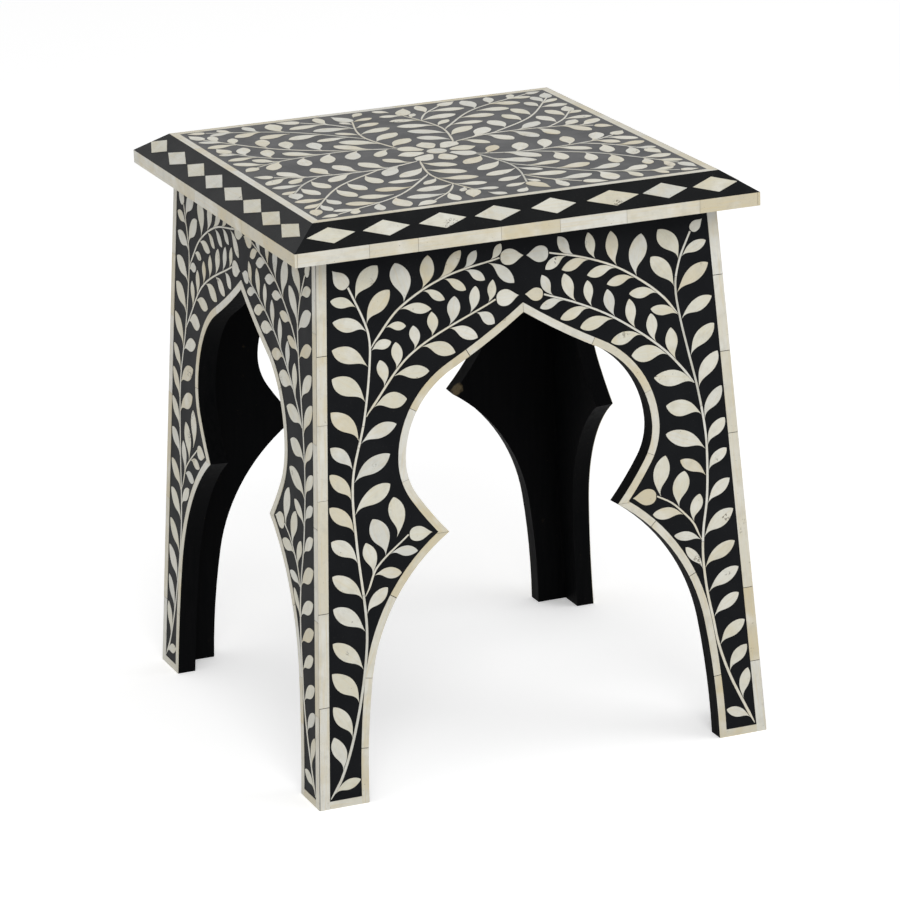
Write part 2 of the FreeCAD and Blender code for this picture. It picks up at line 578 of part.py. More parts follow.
# The side panels and the bone strips along their edges.
def make_panels():
    """The boards of the four sides, and the bone strips on their black faces.

    Gives the outline of the arch with its edging."""
    arch_sketch = panel_sketch("arch_outline")
    draw_arch(arch_sketch)
    grown_outline = doc.addObject("Part::Offset2D", "edging_outline")
    grown_outline.Source = arch_sketch
    grown_outline.Join = "Intersection"
    grown_outline.setExpression("Value", "Sizes.edging_width")
    low = "(-Sizes.cut_overrun)"
    high = "(%s + Sizes.cut_overrun)" % SLANT
    field_sketch = panel_sketch("field_outline")
    draw_outline(field_sketch, [
        (strip_edge(low), low), (strip_edge(high), high),
        (minus(strip_edge(high)), high), (minus(strip_edge(low)), low)])
    upper_sketch = panel_sketch("upper_outline")
    draw_outline(upper_sketch, [
        (FAR, "Sizes.foot_strip_height"), (FAR, high),
        (minus(FAR), high), (minus(FAR), "Sizes.foot_strip_height")])
    arch = cutting_prism("arch_prism", arch_sketch)
    grown_arch = cutting_prism("edging_prism", grown_outline)
    field = cutting_prism("field_prism", field_sketch)
    upper = cutting_prism("upper_prism", upper_sketch)

    board = mitred_lath("board_blank", panel_section("0", "Sizes.panel_thickness"))
    bone = mitred_lath("bone_blank", panel_section("-Sizes.inlay_relief", "0"))
    edging_ring = combined("Cut", "edging_ring", grown_arch, arch)
    inner_bone = combined("Common", "inner_bone", bone, field)
    foot_bone = combined("Cut", "foot_bone", inner_bone, upper)
    kinds = [("side_panel", "Cut", board, arch), ("corner_edging", "Cut", bone, field),
             ("foot_edging", "Cut", foot_bone, grown_arch),
             ("arch_edging", "Common", bone, edging_ring)]
    for kind, operation, base, tool in kinds:
        pieces = []
        for side, angle in SIDES:
            piece = combined(operation, kind + "_" + side, base, tool)
            piece.Placement = turned(angle)
            pieces.append(piece)
        if kind == "arch_edging":
            add_node(grouped(kind, pieces), kind)
        else:
            for piece in pieces:
                add_node(piece, piece.Name)
    doc.recompute()
    return grown_outline


# Flat inlay pieces, each a thin prism on an outline.
def add_inlay(name, outlines, placement):
    relief = FreeCAD.Vector(0, 0, length_of("Sizes.inlay_relief"))
    faces = [Part.Face(Part.makePolygon(outline + outline[:1])) for outline in outlines]
    inlay = doc.addObject("Part::Feature", name)
    inlay.Shape = Part.makeCompound([face.extrude(relief) for face in faces])
    inlay.Placement = placement
    add_node(inlay, name)


def left_of(way):
    return FreeCAD.Vector(-way.y, way.x, 0)


def leaf_outline(base, tip, width_share, hand):
    """A leaf with its fuller flank to the left of its way for hand 1, to the right for -1."""
    way = tip - base
    left = left_of(way) * width_share * hand
    lean = base + way * LEAN_FLANK_SHARES[0] - left * LEAN_FLANK_SHARES[1]
    full = base + way * FULL_FLANK_SHARES[0] + left * FULL_FLANK_SHARES[1]
    return [base, lean, tip, full]


def bud_outline(base, tip, width_share):
    way = tip - base
    left = left_of(way) * width_share / 2
    belly = base + way * BUD_BELLY_SHARE
    return [base, belly - left, tip, belly + left]


def stem_outline(points):
    """A strip of the stem's width along the points, mitred where it bends."""
    half = length_of("Sizes.stem_width") / 2
    normals = []
    for start, end in zip(points, points[1:]):
        normals.append(left_of(end - start).normalize())
    sides = list(zip(normals[:1] + normals, normals + normals[-1:]))
    offsets = [(before + after) * (half / (1 + before.dot(after))) for before, after in sides]
    left = [point + offset for point, offset in zip(points, offsets)]
    right = [point - offset for point, offset in zip(points, offsets)]
    return left + right[::-1]


def clear_base(base, tip, stems):
    """The base, or the last place on the way to it from the tip that is clear of the stems."""
    need = length_of("Sizes.stem_width / 2 + Sizes.stem_clearance")
    near_enough = NEAR_ENOUGH_SHARE * length_of("Sizes.stem_clearance")
    way = base - tip
    walked = 0
    while walked < way.Length:
        place = tip + way * (walked / way.Length)
        free = Part.Vertex(place).distToShape(stems)[0] - need
        if free < near_enough:
            return place
        walked += free
    return base


def foliage(place_of, stem_shares, left_shares, right_shares, bud_shares):
    """The outlines of leaves, buds and stems, at places given by shares."""
    stem_points = [[place_of(*place) for place in stem] for stem in stem_shares]
    stems = Part.makeCompound([Part.makePolygon(points) for points in stem_points])
    leaves = []
    for hand, table in ((1, left_shares), (-1, right_shares)):
        for leaf in table:
            tip = place_of(*leaf[2:4])
            base = clear_base(place_of(*leaf[:2]), tip, stems)
            leaves.append(leaf_outline(base, tip, leaf[4], hand))
    buds = []
    for bud in bud_shares:
        tip = place_of(*bud[2:4])
        base = clear_base(place_of(*bud[:2]), tip, stems)
        buds.append(bud_outline(base, tip, bud[4]))
    return leaves, buds, [stem_outline(points) for points in stem_points]


def mirrored(outlines, x_sign, y_sign):
    """Outlines mirrored in the middle lines, kept going round the same way."""
    copies = []
    for outline in outlines:
        copy = [FreeCAD.Vector(x_sign * point.x, y_sign * point.y, 0) for point in outline]
        copies.append(copy if x_sign * y_sign > 0 else copy[::-1])
    return copies


def spaced(share, level_shares, levels):
    """The length at a share, evenly spaced between the levels that lie at named shares."""
    stretches = zip(level_shares, level_shares[1:], levels, levels[1:])
    for low_share, high_share, low, high in stretches:
        if share <= high_share:
            return low + (high - low) * (share - low_share) / (high_share - low_share)


def make_panel_foliage(arch_outline):
    frame = arch_outline.Source.Placement
    opening = Part.Face(arch_outline.Shape.Wires[0])
    levels = [length_of(up)
              for up in ("Sizes.foot_strip_height", CUSP_UP, LOBE_UP, APEX_UP, SLANT)]
    far = length_of(FAR)
    foot, head = [length_of(strip_edge(up)) for up in ("0", SLANT)]

    def place_of(across, up):
        height = spaced(up, PANEL_LEVEL_SHARES, levels)
        ends = [frame.multVec(FreeCAD.Vector(reach, height, 0)) for reach in (0, far)]
        inner = Part.makeLine(*ends).common(opening).Length
        outer = foot + (head - foot) * height / levels[-1]
        return FreeCAD.Vector(inner + across * (outer - inner), height, 0)

    kinds = zip(("panel_leaves", "panel_buds", "panel_stems"),
                foliage(place_of, LEFT_HALF_STEM_SHARES, LEFT_HALF_LEFT_LEAF_SHARES,
                        LEFT_HALF_RIGHT_LEAF_SHARES, LEFT_HALF_BUD_SHARES),
                foliage(place_of, RIGHT_HALF_STEM_SHARES, RIGHT_HALF_LEFT_LEAF_SHARES,
                        RIGHT_HALF_RIGHT_LEAF_SHARES, RIGHT_HALF_BUD_SHARES))
    for kind, left_half, right_half in kinds:
        both = mirrored(left_half, -1, 1) + right_half
        for side, angle in SIDES:
            add_inlay(kind + "_" + side, both, turned(angle) * frame)


def make_top_foliage():
    petal_tip = length_of("Sizes.petal_start + Sizes.slant_petal_length") * math.sqrt(0.5)
    levels = (0, petal_tip, length_of(FIELD_HALF))
    flat = FreeCAD.Placement(FreeCAD.Vector(0, 0, length_of(SLAB_TOP)), FreeCAD.Rotation())

    def place_of(across, back):
        return FreeCAD.Vector(spaced(across, TOP_LEVEL_SHARES, levels),
                              spaced(back, TOP_LEVEL_SHARES, levels), 0)

    kinds = zip(("top_leaves", "top_buds", "top_stems"),
                foliage(place_of, TOP_STEM_SHARES, TOP_LEFT_LEAF_SHARES,
                        TOP_RIGHT_LEAF_SHARES, TOP_BUD_SHARES))
    for kind, outlines in kinds:
        quarters = [mirrored(outlines, x_sign, y_sign) for x_sign in (1, -1) for y_sign in (1, -1)]
        add_inlay(kind, sum(quarters, []), flat)


# The flower in the middle of the top.
def petal_outline(start, length, width, shares, angle):
    """A petal along a ray from the middle, with both flanks from one table of shares."""
    way = FreeCAD.Vector(math.cos(math.radians(angle)), math.sin(math.radians(angle)), 0)
    flank = [(way * (start + along * length), left_of(way) * (out * width / 2))
             for along, out in shares]
    right = [middle - offset for middle, offset in flank]
    left = [middle + offset for middle, offset in flank if offset.Length > 0]
    return right + left[::-1]


def make_flower():
    start = length_of("Sizes.petal_start")
    straight = (length_of("Sizes.petal_length"), length_of("Sizes.petal_width"), PETAL_SHARES)
    slanted = (length_of("Sizes.slant_petal_length"), length_of("Sizes.slant_petal_width"),
               SLANT_PETAL_SHARES)
    outlines = []
    for _, angle in SIDES:
        outlines.append(petal_outline(start, *straight, angle))
        outlines.append(petal_outline(start, *slanted, angle + 45))
    relief = FreeCAD.Vector(0, 0, length_of("Sizes.inlay_relief"))
    petals = [Part.Face(Part.makePolygon(outline + outline[:1])).extrude(relief)
              for outline in outlines]
    radius = length_of("Sizes.flower_centre_radius")
    turns = [2 * math.pi * number / CENTRE_SIDES for number in range(CENTRE_SIDES + 1)]
    rim = [FreeCAD.Vector(math.cos(turn) * radius, math.sin(turn) * radius, 0) for turn in turns]
    centre = Part.Face(Part.makePolygon(rim)).extrude(relief)
    flower = doc.addObject("Part::Feature", "top_flower")
    flower.Shape = Part.makeCompound([centre] + petals)
    flower.Placement = FreeCAD.Placement(
        FreeCAD.Vector(0, 0, length_of(SLAB_TOP)), FreeCAD.Rotation())
    add_node(flower, "top_flower")


# The diamonds along the bevel, whose own frame has X across, Y up the slope, Z outwards.
def make_diamonds():
    half_length = length_of("Sizes.slab_width - Sizes.bevel_run") / 2
    half_height = length_of("Sizes.diamond_height") / 2
    middle = length_of(BEVEL_SLOPE) / 2
    slope = FreeCAD.Rotation(FreeCAD.Vector(1, 0, 0),
                             length_of("atan(Sizes.bevel_rise / Sizes.bevel_run)"))
    edge = FreeCAD.Vector(0, -length_of(SLAB_HALF), length_of(RIM_TOP))
    rows = [FRONT_DIAMOND_SHARES, LEFT_DIAMOND_SHARES] * 2
    for (side, angle), row in zip(SIDES, rows):
        outlines = []
        for first_share, last_share in row:
            first = first_share * half_length
            last = last_share * half_length
            outlines.append([FreeCAD.Vector(first, middle, 0),
                             FreeCAD.Vector((first + last) / 2, middle - half_height, 0),
                             FreeCAD.Vector(last, middle, 0),
                             FreeCAD.Vector((first + last) / 2, middle + half_height, 0)])
        add_inlay("bevel_diamonds_" + side, outlines, turned(angle) * FreeCAD.Placement(edge, slope))


make_top_board()
make_top_ground()
make_laths()
make_corner_blocks()
make_panel_foliage(make_panels())
make_top_foliage()
make_flower()
make_diamonds()
doc.recompute()

for obj in doc.Objects:
    if {"Invalid", "Error"} & set(obj.State):
        raise ValueError("%s failed: %s" % (obj.Label, obj.State))
for node in nodes:
    if node.Shape.isNull() or not node.Shape.isValid():
        raise ValueError("%s has no sound shape" % node.Label)

os.makedirs("parts", exist_ok=True)
for node in nodes:
    node.Shape.exportStep("parts/%s.step" % node.Label)
whole = Part.makeCompound([node.Shape for node in nodes]).BoundBox
print("%d nodes, %.2f x %.2f x %.2f mm" % (len(nodes), whole.XLength, whole.YLength, whole.ZLength))
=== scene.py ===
import math
import random
from collections import namedtuple
import bmesh
import bpy
import numpy as np
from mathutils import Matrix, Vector


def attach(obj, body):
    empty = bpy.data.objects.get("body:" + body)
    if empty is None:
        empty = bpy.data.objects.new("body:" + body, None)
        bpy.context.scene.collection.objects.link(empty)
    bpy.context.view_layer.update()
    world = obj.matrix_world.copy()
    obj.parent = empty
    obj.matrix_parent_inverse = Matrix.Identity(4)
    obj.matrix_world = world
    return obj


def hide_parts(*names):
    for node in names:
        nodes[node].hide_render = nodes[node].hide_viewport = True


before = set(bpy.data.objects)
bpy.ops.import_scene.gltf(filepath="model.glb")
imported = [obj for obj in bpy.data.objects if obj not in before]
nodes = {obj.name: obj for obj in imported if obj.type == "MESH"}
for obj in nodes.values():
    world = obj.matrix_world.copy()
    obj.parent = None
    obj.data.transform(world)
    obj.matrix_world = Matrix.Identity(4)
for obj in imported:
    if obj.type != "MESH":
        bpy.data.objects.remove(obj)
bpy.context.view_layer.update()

# A square stool covered in bone inlay on black resin, with four arched panels.
# Metres, +Z up, the origin on the floor under the middle of the stool.
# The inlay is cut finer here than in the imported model, from that model's own outlines.

OUTWARD = {
    "front": Vector((0, -1, 0)),
    "right": Vector((1, 0, 0)),
    "back": Vector((0, 1, 0)),
    "left": Vector((-1, 0, 0)),
}

UP = Vector((0, 0, 1))

# Half the width of a stem at its root, and the steps along it.
STEM_HALF = 0.0011
STEM_STEP = 0.0016
# The lengths from which a stem has its full thickness, and is laid in several pieces.
FULL_STEM = 0.35
MAIN_STEM = 0.3
# How near a leaf or bud has to be to a stem to join it, and one stem to another.
JOIN_REACH = 0.004
BRANCH_REACH = 0.011
# The lengths over which a stem thickens at its root and thins at a free end.
ROOT_TAPER = 0.010
END_TAPER = 0.008
# The resin left between two pieces, and between a leaf and its stem.
CLEAR = 0.00035
STEM_CLEAR = 0.00012
# The width of a saw joint, and half that of a corner joint where it is most open.
SEAM = 0.00026
MITRE_GAP = 0.00031
# How deep the pieces reach into the resin, and how far they stand out of it.
SUNK = 0.0002
LEAF_RELIEF = 0.00030
STEM_RELIEF = 0.00026
# How far edges are rounded off, on leaves and on strips.
ROUNDING = 0.00014
WORN_EDGE = 0.00012
# How far the corners of a diamond stray.
DIAMOND_WANDER = 0.0003
# In how many steps a leaf is drawn in where something is too near.
FIT_STEPS = 12


class Plane:
    """A flat face of the stool, with X across and Y up its slope from its lower edge."""

    def __init__(self, inlay, ground, outward):
        normal = Vector()
        for face in nodes[inlay].data.polygons:
            if face.normal.dot(outward) > 0.9:
                normal += face.normal * face.area
        self.normal = normal.normalized()
        across = UP.cross(self.normal)
        self.across = across.normalized() if across.length > 0.01 else Vector((1, 0, 0))
        self.up = self.normal.cross(self.across)
        spots = [vert.co for vert in nodes[ground].data.vertices]
        self.level = max(self.normal.dot(spot) for spot in spots)
        self.foot = min(self.up.dot(spot) for spot in spots
                        if self.normal.dot(spot) > self.level - 0.0001)

    def flat(self, point):
        return Vector((point.dot(self.across), point.dot(self.up) - self.foot))

    def place(self, spot, height):
        up = self.up * (spot.y + self.foot)
        return self.across * spot.x + up + self.normal * (self.level + height)


def outlines_of(name, plane):
    """The outlines of a node's outer faces, anticlockwise from outside, in a fixed order."""
    mesh = bmesh.new()
    mesh.from_mesh(nodes[name].data)
    bmesh.ops.remove_doubles(mesh, verts=mesh.verts, dist=1e-6)
    mesh.faces.index_update()
    outer = {face.index for face in mesh.faces if face.normal.dot(plane.normal) > 0.999}
    following = {}
    for face in mesh.faces:
        if face.index not in outer:
            continue
        for loop in face.loops:
            others = [other for other in loop.edge.link_faces if other.index != face.index]
            if not any(other.index in outer for other in others):
                following[loop.vert] = loop.link_loop_next.vert
    outlines = []
    while following:
        start, vert = following.popitem()
        outline = [plane.flat(start.co)]
        while vert is not start:
            outline.append(plane.flat(vert.co))
            vert = following.pop(vert)
        outlines.append(outline)
    mesh.free()
    return sorted(outlines, key=height_and_side)


def middle_of(outline):
    return sum(outline, Vector((0, 0))) / len(outline)


def height_and_side(outline):
    middle = middle_of(outline)
    return round(middle.y, 5), round(middle.x, 5)


def left_of(way):
    return Vector((-way.y, way.x))


def lerp(start, end, share):
    return start + (end - start) * share


class Obstacles:
    """Line segments that a leaf keeps clear of."""

    def __init__(self):
        self.starts = []
        self.ends = []
        self.reach = []

    def add(self, points, reach, closed=False):
        following = points[1:] + points[:1] if closed else points[1:]
        for start, end in zip(points, following):
            self.starts.append(tuple(start))
            self.ends.append(tuple(end))
            self.reach.append(reach)

    def freeze(self):
        self.a = np.array(self.starts, float)
        self.way = np.array(self.ends, float) - self.a
        self.span = np.maximum((self.way ** 2).sum(1), 1e-14)
        self.keep = np.array(self.reach, float)

    def distance(self, point):
        """The least distance from a point to the obstacles' edges, and the nearest place."""
        place = np.array(tuple(point))
        share = np.clip(((place - self.a) * self.way).sum(1) / self.span, 0, 1)
        nearest = self.a + self.way * share[:, None]
        gaps = np.linalg.norm(place - nearest, axis=1) - self.keep
        best = int(gaps.argmin())
        return float(gaps[best]), Vector(nearest[best]), Vector(self.way[best])

    def crossed(self, start, end):
        """Whether the straight way from start to end crosses an obstacle."""
        p = np.array(tuple(start))
        r = np.array(tuple(end)) - p
        cross = r[0] * self.way[:, 1] - r[1] * self.way[:, 0]
        cross = np.where(np.abs(cross) < 1e-16, 1e-16, cross)
        off = self.a - p
        t = (off[:, 0] * self.way[:, 1] - off[:, 1] * self.way[:, 0]) / cross
        u = (off[:, 0] * r[1] - off[:, 1] * r[0]) / cross
        return bool(((t > 0) & (t < 1) & (u > 0) & (u < 1)).any())


# Curves.
def bezier(start, first, second, end, count):
    points = []
    for number in range(count):
        t = number / count
        s = 1 - t
        points.append(start * s ** 3 + first * 3 * s * s * t
                      + second * 3 * s * t * t + end * t ** 3)
    return points


def spline(points, step):
    """A smooth line through the points, with a place about every step."""
    line = []
    for number in range(len(points) - 1):
        start, end = points[number], points[number + 1]
        before = points[number - 1] if number else start - (end - start)
        after = points[number + 2] if number + 2 < len(points) else end + (end - start)
        span = (end - start).length
        leave = (end - before) * span / max((end - start).length + (start - before).length, 1e-9)
        arrive = (after - start) * span / max((after - end).length + (end - start).length, 1e-9)
        count = max(2, round(span / step))
        line += bezier(start, start + leave / 3, end - arrive / 3, end, count)
    return line + [points[-1]]


def softened(outline, steps, corner_degrees):
    """A closed outline with its blunt corners rounded off and its sharp ones kept."""
    count = len(outline)
    ways = [outline[(i + 1) % count] - outline[i] for i in range(count)]
    sharp = [abs(ways[i - 1].angle_signed(ways[i])) > math.radians(corner_degrees)
             for i in range(count)]
    line = []
    for i in range(count):
        start, end = outline[i], outline[(i + 1) % count]
        leave = ways[i] if sharp[i] else (ways[i - 1] + ways[i]) / 2
        arrive = ways[i] if sharp[(i + 1) % count] else (ways[i] + ways[(i + 1) % count]) / 2
        leave = leave * min(1, ways[i].length / leave.length)
        arrive = arrive * min(1, ways[i].length / arrive.length)
        line += bezier(start, start + leave / 3, end - arrive / 3, end, steps)
    return line


# Pieces of bone in a bmesh.
def add_slab(mesh, plane, outline, height):
    """A thin piece on a closed outline, with its upper edge rounded."""
    count = len(outline)
    inner = []
    for i in range(count):
        before = (outline[i] - outline[i - 1]).normalized()
        after = (outline[(i + 1) % count] - outline[i]).normalized()
        inward = left_of(before + after)
        if inward.length > 1e-6:
            inward.normalize()
        blunt = max(0.25, before.dot(after))
        inner.append(outline[i] + inward * ROUNDING * blunt)
    rings = []
    for line, level in ((outline, -SUNK), (outline, height - ROUNDING), (inner, height)):
        rings.append([mesh.verts.new(plane.place(spot, level)) for spot in line])
    for low, high in zip(rings, rings[1:]):
        for i in range(count):
            j = (i + 1) % count
            mesh.faces.new((low[i], low[j], high[j], high[i]))
    mesh.faces.new(rings[2])
    mesh.faces.new(rings[0][::-1])


def add_strip(mesh, plane, line, halves, height):
    """A thin strip along a line, with a half width at each place."""
    sections = []
    for i, spot in enumerate(line):
        before = line[max(i - 1, 0)]
        after = line[min(i + 1, len(line) - 1)]
        side = left_of((after - before).normalized())
        half = halves[i]
        top = max(half - ROUNDING, half * 0.3)
        sections.append([mesh.verts.new(plane.place(spot - side * half, -SUNK)),
                         mesh.verts.new(plane.place(spot - side * half, height - ROUNDING)),
                         mesh.verts.new(plane.place(spot - side * top, height)),
                         mesh.verts.new(plane.place(spot + side * top, height)),
                         mesh.verts.new(plane.place(spot + side * half, height - ROUNDING)),
                         mesh.verts.new(plane.place(spot + side * half, -SUNK))])
    for first, second in zip(sections, sections[1:]):
        for i in range(6):
            j = (i + 1) % 6
            mesh.faces.new((first[i], second[i], second[j], first[j]))
    mesh.faces.new(sections[0])
    mesh.faces.new(sections[-1][::-1])


def islands_of(mesh):
    """The joined groups of a mesh's faces, in the order of their first face."""
    mesh.faces.index_update()
    seen = set()
    groups = []
    for face in mesh.faces:
        if face.index in seen:
            continue
        seen.add(face.index)
        group = [face]
        for member in group:
            for edge in member.edges:
                for other in edge.link_faces:
                    if other.index not in seen:
                        seen.add(other.index)
                        group.append(other)
        groups.append(group)
    return groups


# The grain map: a tile for each piece, 24 in a row.
UV_PER_METRE = 2.5
TILES_ACROSS = 24


def lay_grain(mesh, first_tile):
    """Each piece of bone gets its own tile of the grain map, with the grain along its length."""
    layer = mesh.loops.layers.uv.new("grain")
    tile = first_tile
    for group in islands_of(mesh):
        spots = np.array([tuple(vert.co) for face in group for vert in face.verts])
        centre = (spots.max(0) + spots.min(0)) / 2
        values, axes = np.linalg.eigh(np.cov((spots - centre).T))
        along, across = axes[:, 2], axes[:, 1]
        along = along * (1 if along[int(np.abs(along).argmax())] > 0 else -1)
        across = across * (1 if across[int(np.abs(across).argmax())] > 0 else -1)
        corner = (tile % TILES_ACROSS + 0.5, tile // TILES_ACROSS + 0.5)
        for face in group:
            for loop in face.loops:
                off = np.array(tuple(loop.vert.co)) - centre
                loop[layer].uv = (corner[0] + UV_PER_METRE * float(off @ along),
                                  corner[1] + UV_PER_METRE * float(off @ across))
        tile += 1
    return tile


next_tile = 0


def finish_piece(name, mesh, material, replaced, bevel=0.0):
    """An object made of a mesh, riding on the stool in place of some of its nodes."""
    global next_tile
    bmesh.ops.recalc_face_normals(mesh, faces=mesh.faces)
    next_tile = lay_grain(mesh, next_tile)
    data = bpy.data.meshes.new(name)
    mesh.to_mesh(data)
    mesh.free()
    piece = bpy.data.objects.new(name, data)
    bpy.context.scene.collection.objects.link(piece)
    data.materials.append(material)
    if bevel:
        edge = piece.modifiers.new("worn_edge", "BEVEL")
        edge.width = bevel
        edge.segments = 2
        edge.limit_method = "ANGLE"
        edge.angle_limit = math.radians(50)
    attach(piece, "root")
    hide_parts(*replaced)


# Materials. The resin's clouds and dust have one scale on the top and on the panels.
CLOUD_SCALE = 38.0
DUST_SCALE = 1500.0


class Nodes:
    """A material's node tree with its shader."""

    def __init__(self, name):
        self.material = bpy.data.materials.new(name)
        self.material.use_nodes = True
        self.tree = self.material.node_tree
        self.shader = self.tree.nodes["Principled BSDF"]

    def add(self, kind, inputs=(), **settings):
        node = self.tree.nodes.new(kind)
        for name, value in settings.items():
            setattr(node, name, value)
        for name, value in dict(inputs).items():
            self.feed(node.inputs[name], value)
        return node

    def feed(self, socket, value):
        if isinstance(value, bpy.types.NodeSocket):
            self.tree.links.new(value, socket)
        else:
            socket.default_value = value

    def math(self, operation, first, second=0.0, third=0.0):
        node = self.add("ShaderNodeMath", operation=operation)
        for number, value in enumerate((first, second, third)):
            self.feed(node.inputs[number], value)
        return node.outputs[0]

    def vector_math(self, operation, first, second=(0, 0, 0)):
        node = self.add("ShaderNodeVectorMath", operation=operation)
        self.feed(node.inputs[0], first)
        self.feed(node.inputs[1], second)
        number = operation in ("DOT_PRODUCT", "DISTANCE")
        return node.outputs["Value"] if number else node.outputs[0]

    def mix(self, share, first, second, blend="MIX"):
        node = self.add("ShaderNodeMix", data_type="RGBA", blend_type=blend)
        self.feed(node.inputs[0], share)
        self.feed(node.inputs[6], first)
        self.feed(node.inputs[7], second)
        return node.outputs[2]

    def ramp(self, share, stops):
        node = self.add("ShaderNodeValToRGB")
        ramp = node.color_ramp
        while len(ramp.elements) < len(stops):
            ramp.elements.new(0.5)
        for element, (position, colour) in zip(ramp.elements, stops):
            element.position = position
            element.color = colour
        self.feed(node.inputs[0], share)
        return node.outputs[0]

    def noise(self, vector, scale, detail=2.0, roughness=0.5):
        node = self.add("ShaderNodeTexNoise", {"Vector": vector, "Scale": scale, "Detail": detail,
                                               "Roughness": roughness})
        return node.outputs["Fac"]

    def range(self, value, low, high, out_low=0.0, out_high=1.0):
        node = self.add("ShaderNodeMapRange", {"Value": value, "From Min": low, "From Max": high,
                                               "To Min": out_low, "To Max": out_high})
        return node.outputs["Result"]

    def bump(self, height, distance, strength=1.0):
        node = self.add("ShaderNodeBump", {"Height": height, "Distance": distance,
                                           "Strength": strength})
        self.feed(self.shader.inputs["Normal"], node.outputs["Normal"])


def srgb(red, green, blue):
    """A colour written as an sRGB picture has it, from 0 to 255."""
    values = []
    for value in (red, green, blue):
        value = value / 255
        values.append(value / 12.92 if value <= 0.04045 else ((value + 0.055) / 1.055) ** 2.4)
    return (*values, 1)


# The third diamond in front is spongy bone at one corner, and behind the front arch
# the paint is rubbed through to the wood on a cusp.
SPECKLED_SPOT = (-0.0615, -0.1832, 0.4448)
RUBBED_CUSP = (0.0735, 0.163, 0.207)


def bone_material(name, tints, ochre, cloud_scale, spongy_level):
    """Polished bone: a soft tint for each piece, clouds of ochre, fibres, pores and pinholes."""
    made = Nodes(name)
    uv = made.add("ShaderNodeUVMap", uv_map="grain").outputs["UV"]
    place = made.add("ShaderNodeTexCoord").outputs["Object"]
    tile = made.vector_math("FLOOR", uv)
    piece = made.add("ShaderNodeTexWhiteNoise", {"Vector": tile}, noise_dimensions="2D")
    parts = made.add("ShaderNodeSeparateColor", {"Color": piece.outputs["Color"]})
    tint = made.ramp(parts.outputs["Red"], tints)
    cloud = made.noise(place, cloud_scale, 3.0, 0.6)
    stain = made.math("MULTIPLY", made.range(cloud, 0.44, 0.70),
                      made.range(parts.outputs["Green"], 0.25, 1.0, 0.06, ochre))
    colour = made.mix(stain, tint, srgb(200, 184, 140))
    pale = made.range(made.noise(place, 60.0, 2.0), 0.50, 0.70, 0.0, 0.5)
    colour = made.mix(pale, colour, srgb(221, 221, 215))
    shade = made.range(made.noise(place, 130.0, 3.0, 0.6), 0.50, 0.74, 0.0, 0.42)
    colour = made.mix(shade, colour, srgb(178, 177, 168))
    streaks = made.noise(made.vector_math("MULTIPLY", uv, (10.0, 230.0, 1.0)), 1.0, 2.0)
    streaked = made.range(streaks, 0.48, 0.72, 0.0, ochre * 0.5)
    colour = made.mix(streaked, colour, srgb(203, 184, 136))
    fibre_place = made.vector_math("MULTIPLY", uv, (70.0, 1300.0, 1.0))
    fibres = made.noise(fibre_place, 1.0, 3.0, 0.6)
    colour = made.mix(made.range(fibres, 0.35, 0.75, 0.0, 0.22), colour, srgb(176, 163, 132))
    pore_place = made.vector_math("MULTIPLY", uv, (190.0, 2300.0, 1.0))
    pores = made.noise(pore_place, 1.0, 1.0)
    pored = made.math("MULTIPLY", made.range(pores, 0.70, 0.76),
                      made.range(parts.outputs["Blue"], 0.45, 1.0, 0.10, 0.75))
    colour = made.mix(pored, colour, srgb(104, 86, 60))
    spongy_places = made.range(made.noise(place, 48.0, 2.0), spongy_level, spongy_level + 0.06)
    spongy = made.math("MULTIPLY", spongy_places,
                       made.range(made.noise(place, 620.0, 2.0), 0.53, 0.60))
    near = made.range(made.vector_math("DISTANCE", place, SPECKLED_SPOT), 0.0045, 0.008, 1.0, 0.0)
    specks = made.math("MULTIPLY", near, made.range(made.noise(place, 950.0, 2.0), 0.54, 0.60))
    spongy = made.math("MAXIMUM", spongy, specks)
    pinhole = made.range(made.noise(place, 620.0, 1.0), 0.765, 0.80, 0.0, 0.8)
    pits = made.math("MAXIMUM", spongy, pinhole)
    colour = made.mix(made.math("MULTIPLY", pits, 0.82), colour, srgb(66, 56, 42))
    made.feed(made.shader.inputs["Base Color"], colour)
    made.feed(made.shader.inputs["Roughness"], made.range(fibres, 0.2, 0.8, 0.34, 0.52))
    made.shader.inputs["Specular IOR Level"].default_value = 0.4
    relief = made.math("SUBTRACT", fibres, made.math("MULTIPLY", pored, 1.5))
    relief = made.math("SUBTRACT", relief, made.math("MULTIPLY", pits, 2.5))
    made.bump(relief, 0.00006, 0.5)
    return made.material


def resin_material(name, colour, specular, smooth, dull):
    """Black resin, sanded and waxed: faint clouds, dust specks and fine scratches."""
    made = Nodes(name)
    place = made.add("ShaderNodeTexCoord").outputs["Object"]
    cloud = made.noise(place, CLOUD_SCALE, 4.0, 0.6)
    base = made.mix(made.range(cloud, 0.35, 0.70), colour, [c * 1.7 for c in colour[:3]] + [1])
    dust = made.noise(place, DUST_SCALE, 1.0)
    base = made.mix(made.range(dust, 0.72, 0.78, 0.0, 0.5), base, srgb(92, 90, 86))
    stretched = made.vector_math("MULTIPLY", place, (260.0, 2100.0, 260.0))
    scratches = made.noise(stretched, 1.0, 2.0)
    made.feed(made.shader.inputs["Base Color"], base)
    haze = made.math("ADD", made.range(cloud, 0.3, 0.7, smooth, dull),
                     made.range(scratches, 0.5, 0.8, 0.0, 0.08))
    made.feed(made.shader.inputs["Roughness"], haze)
    made.shader.inputs["Specular IOR Level"].default_value = specular
    made.bump(scratches, 0.00003, 0.4)
    return made.material


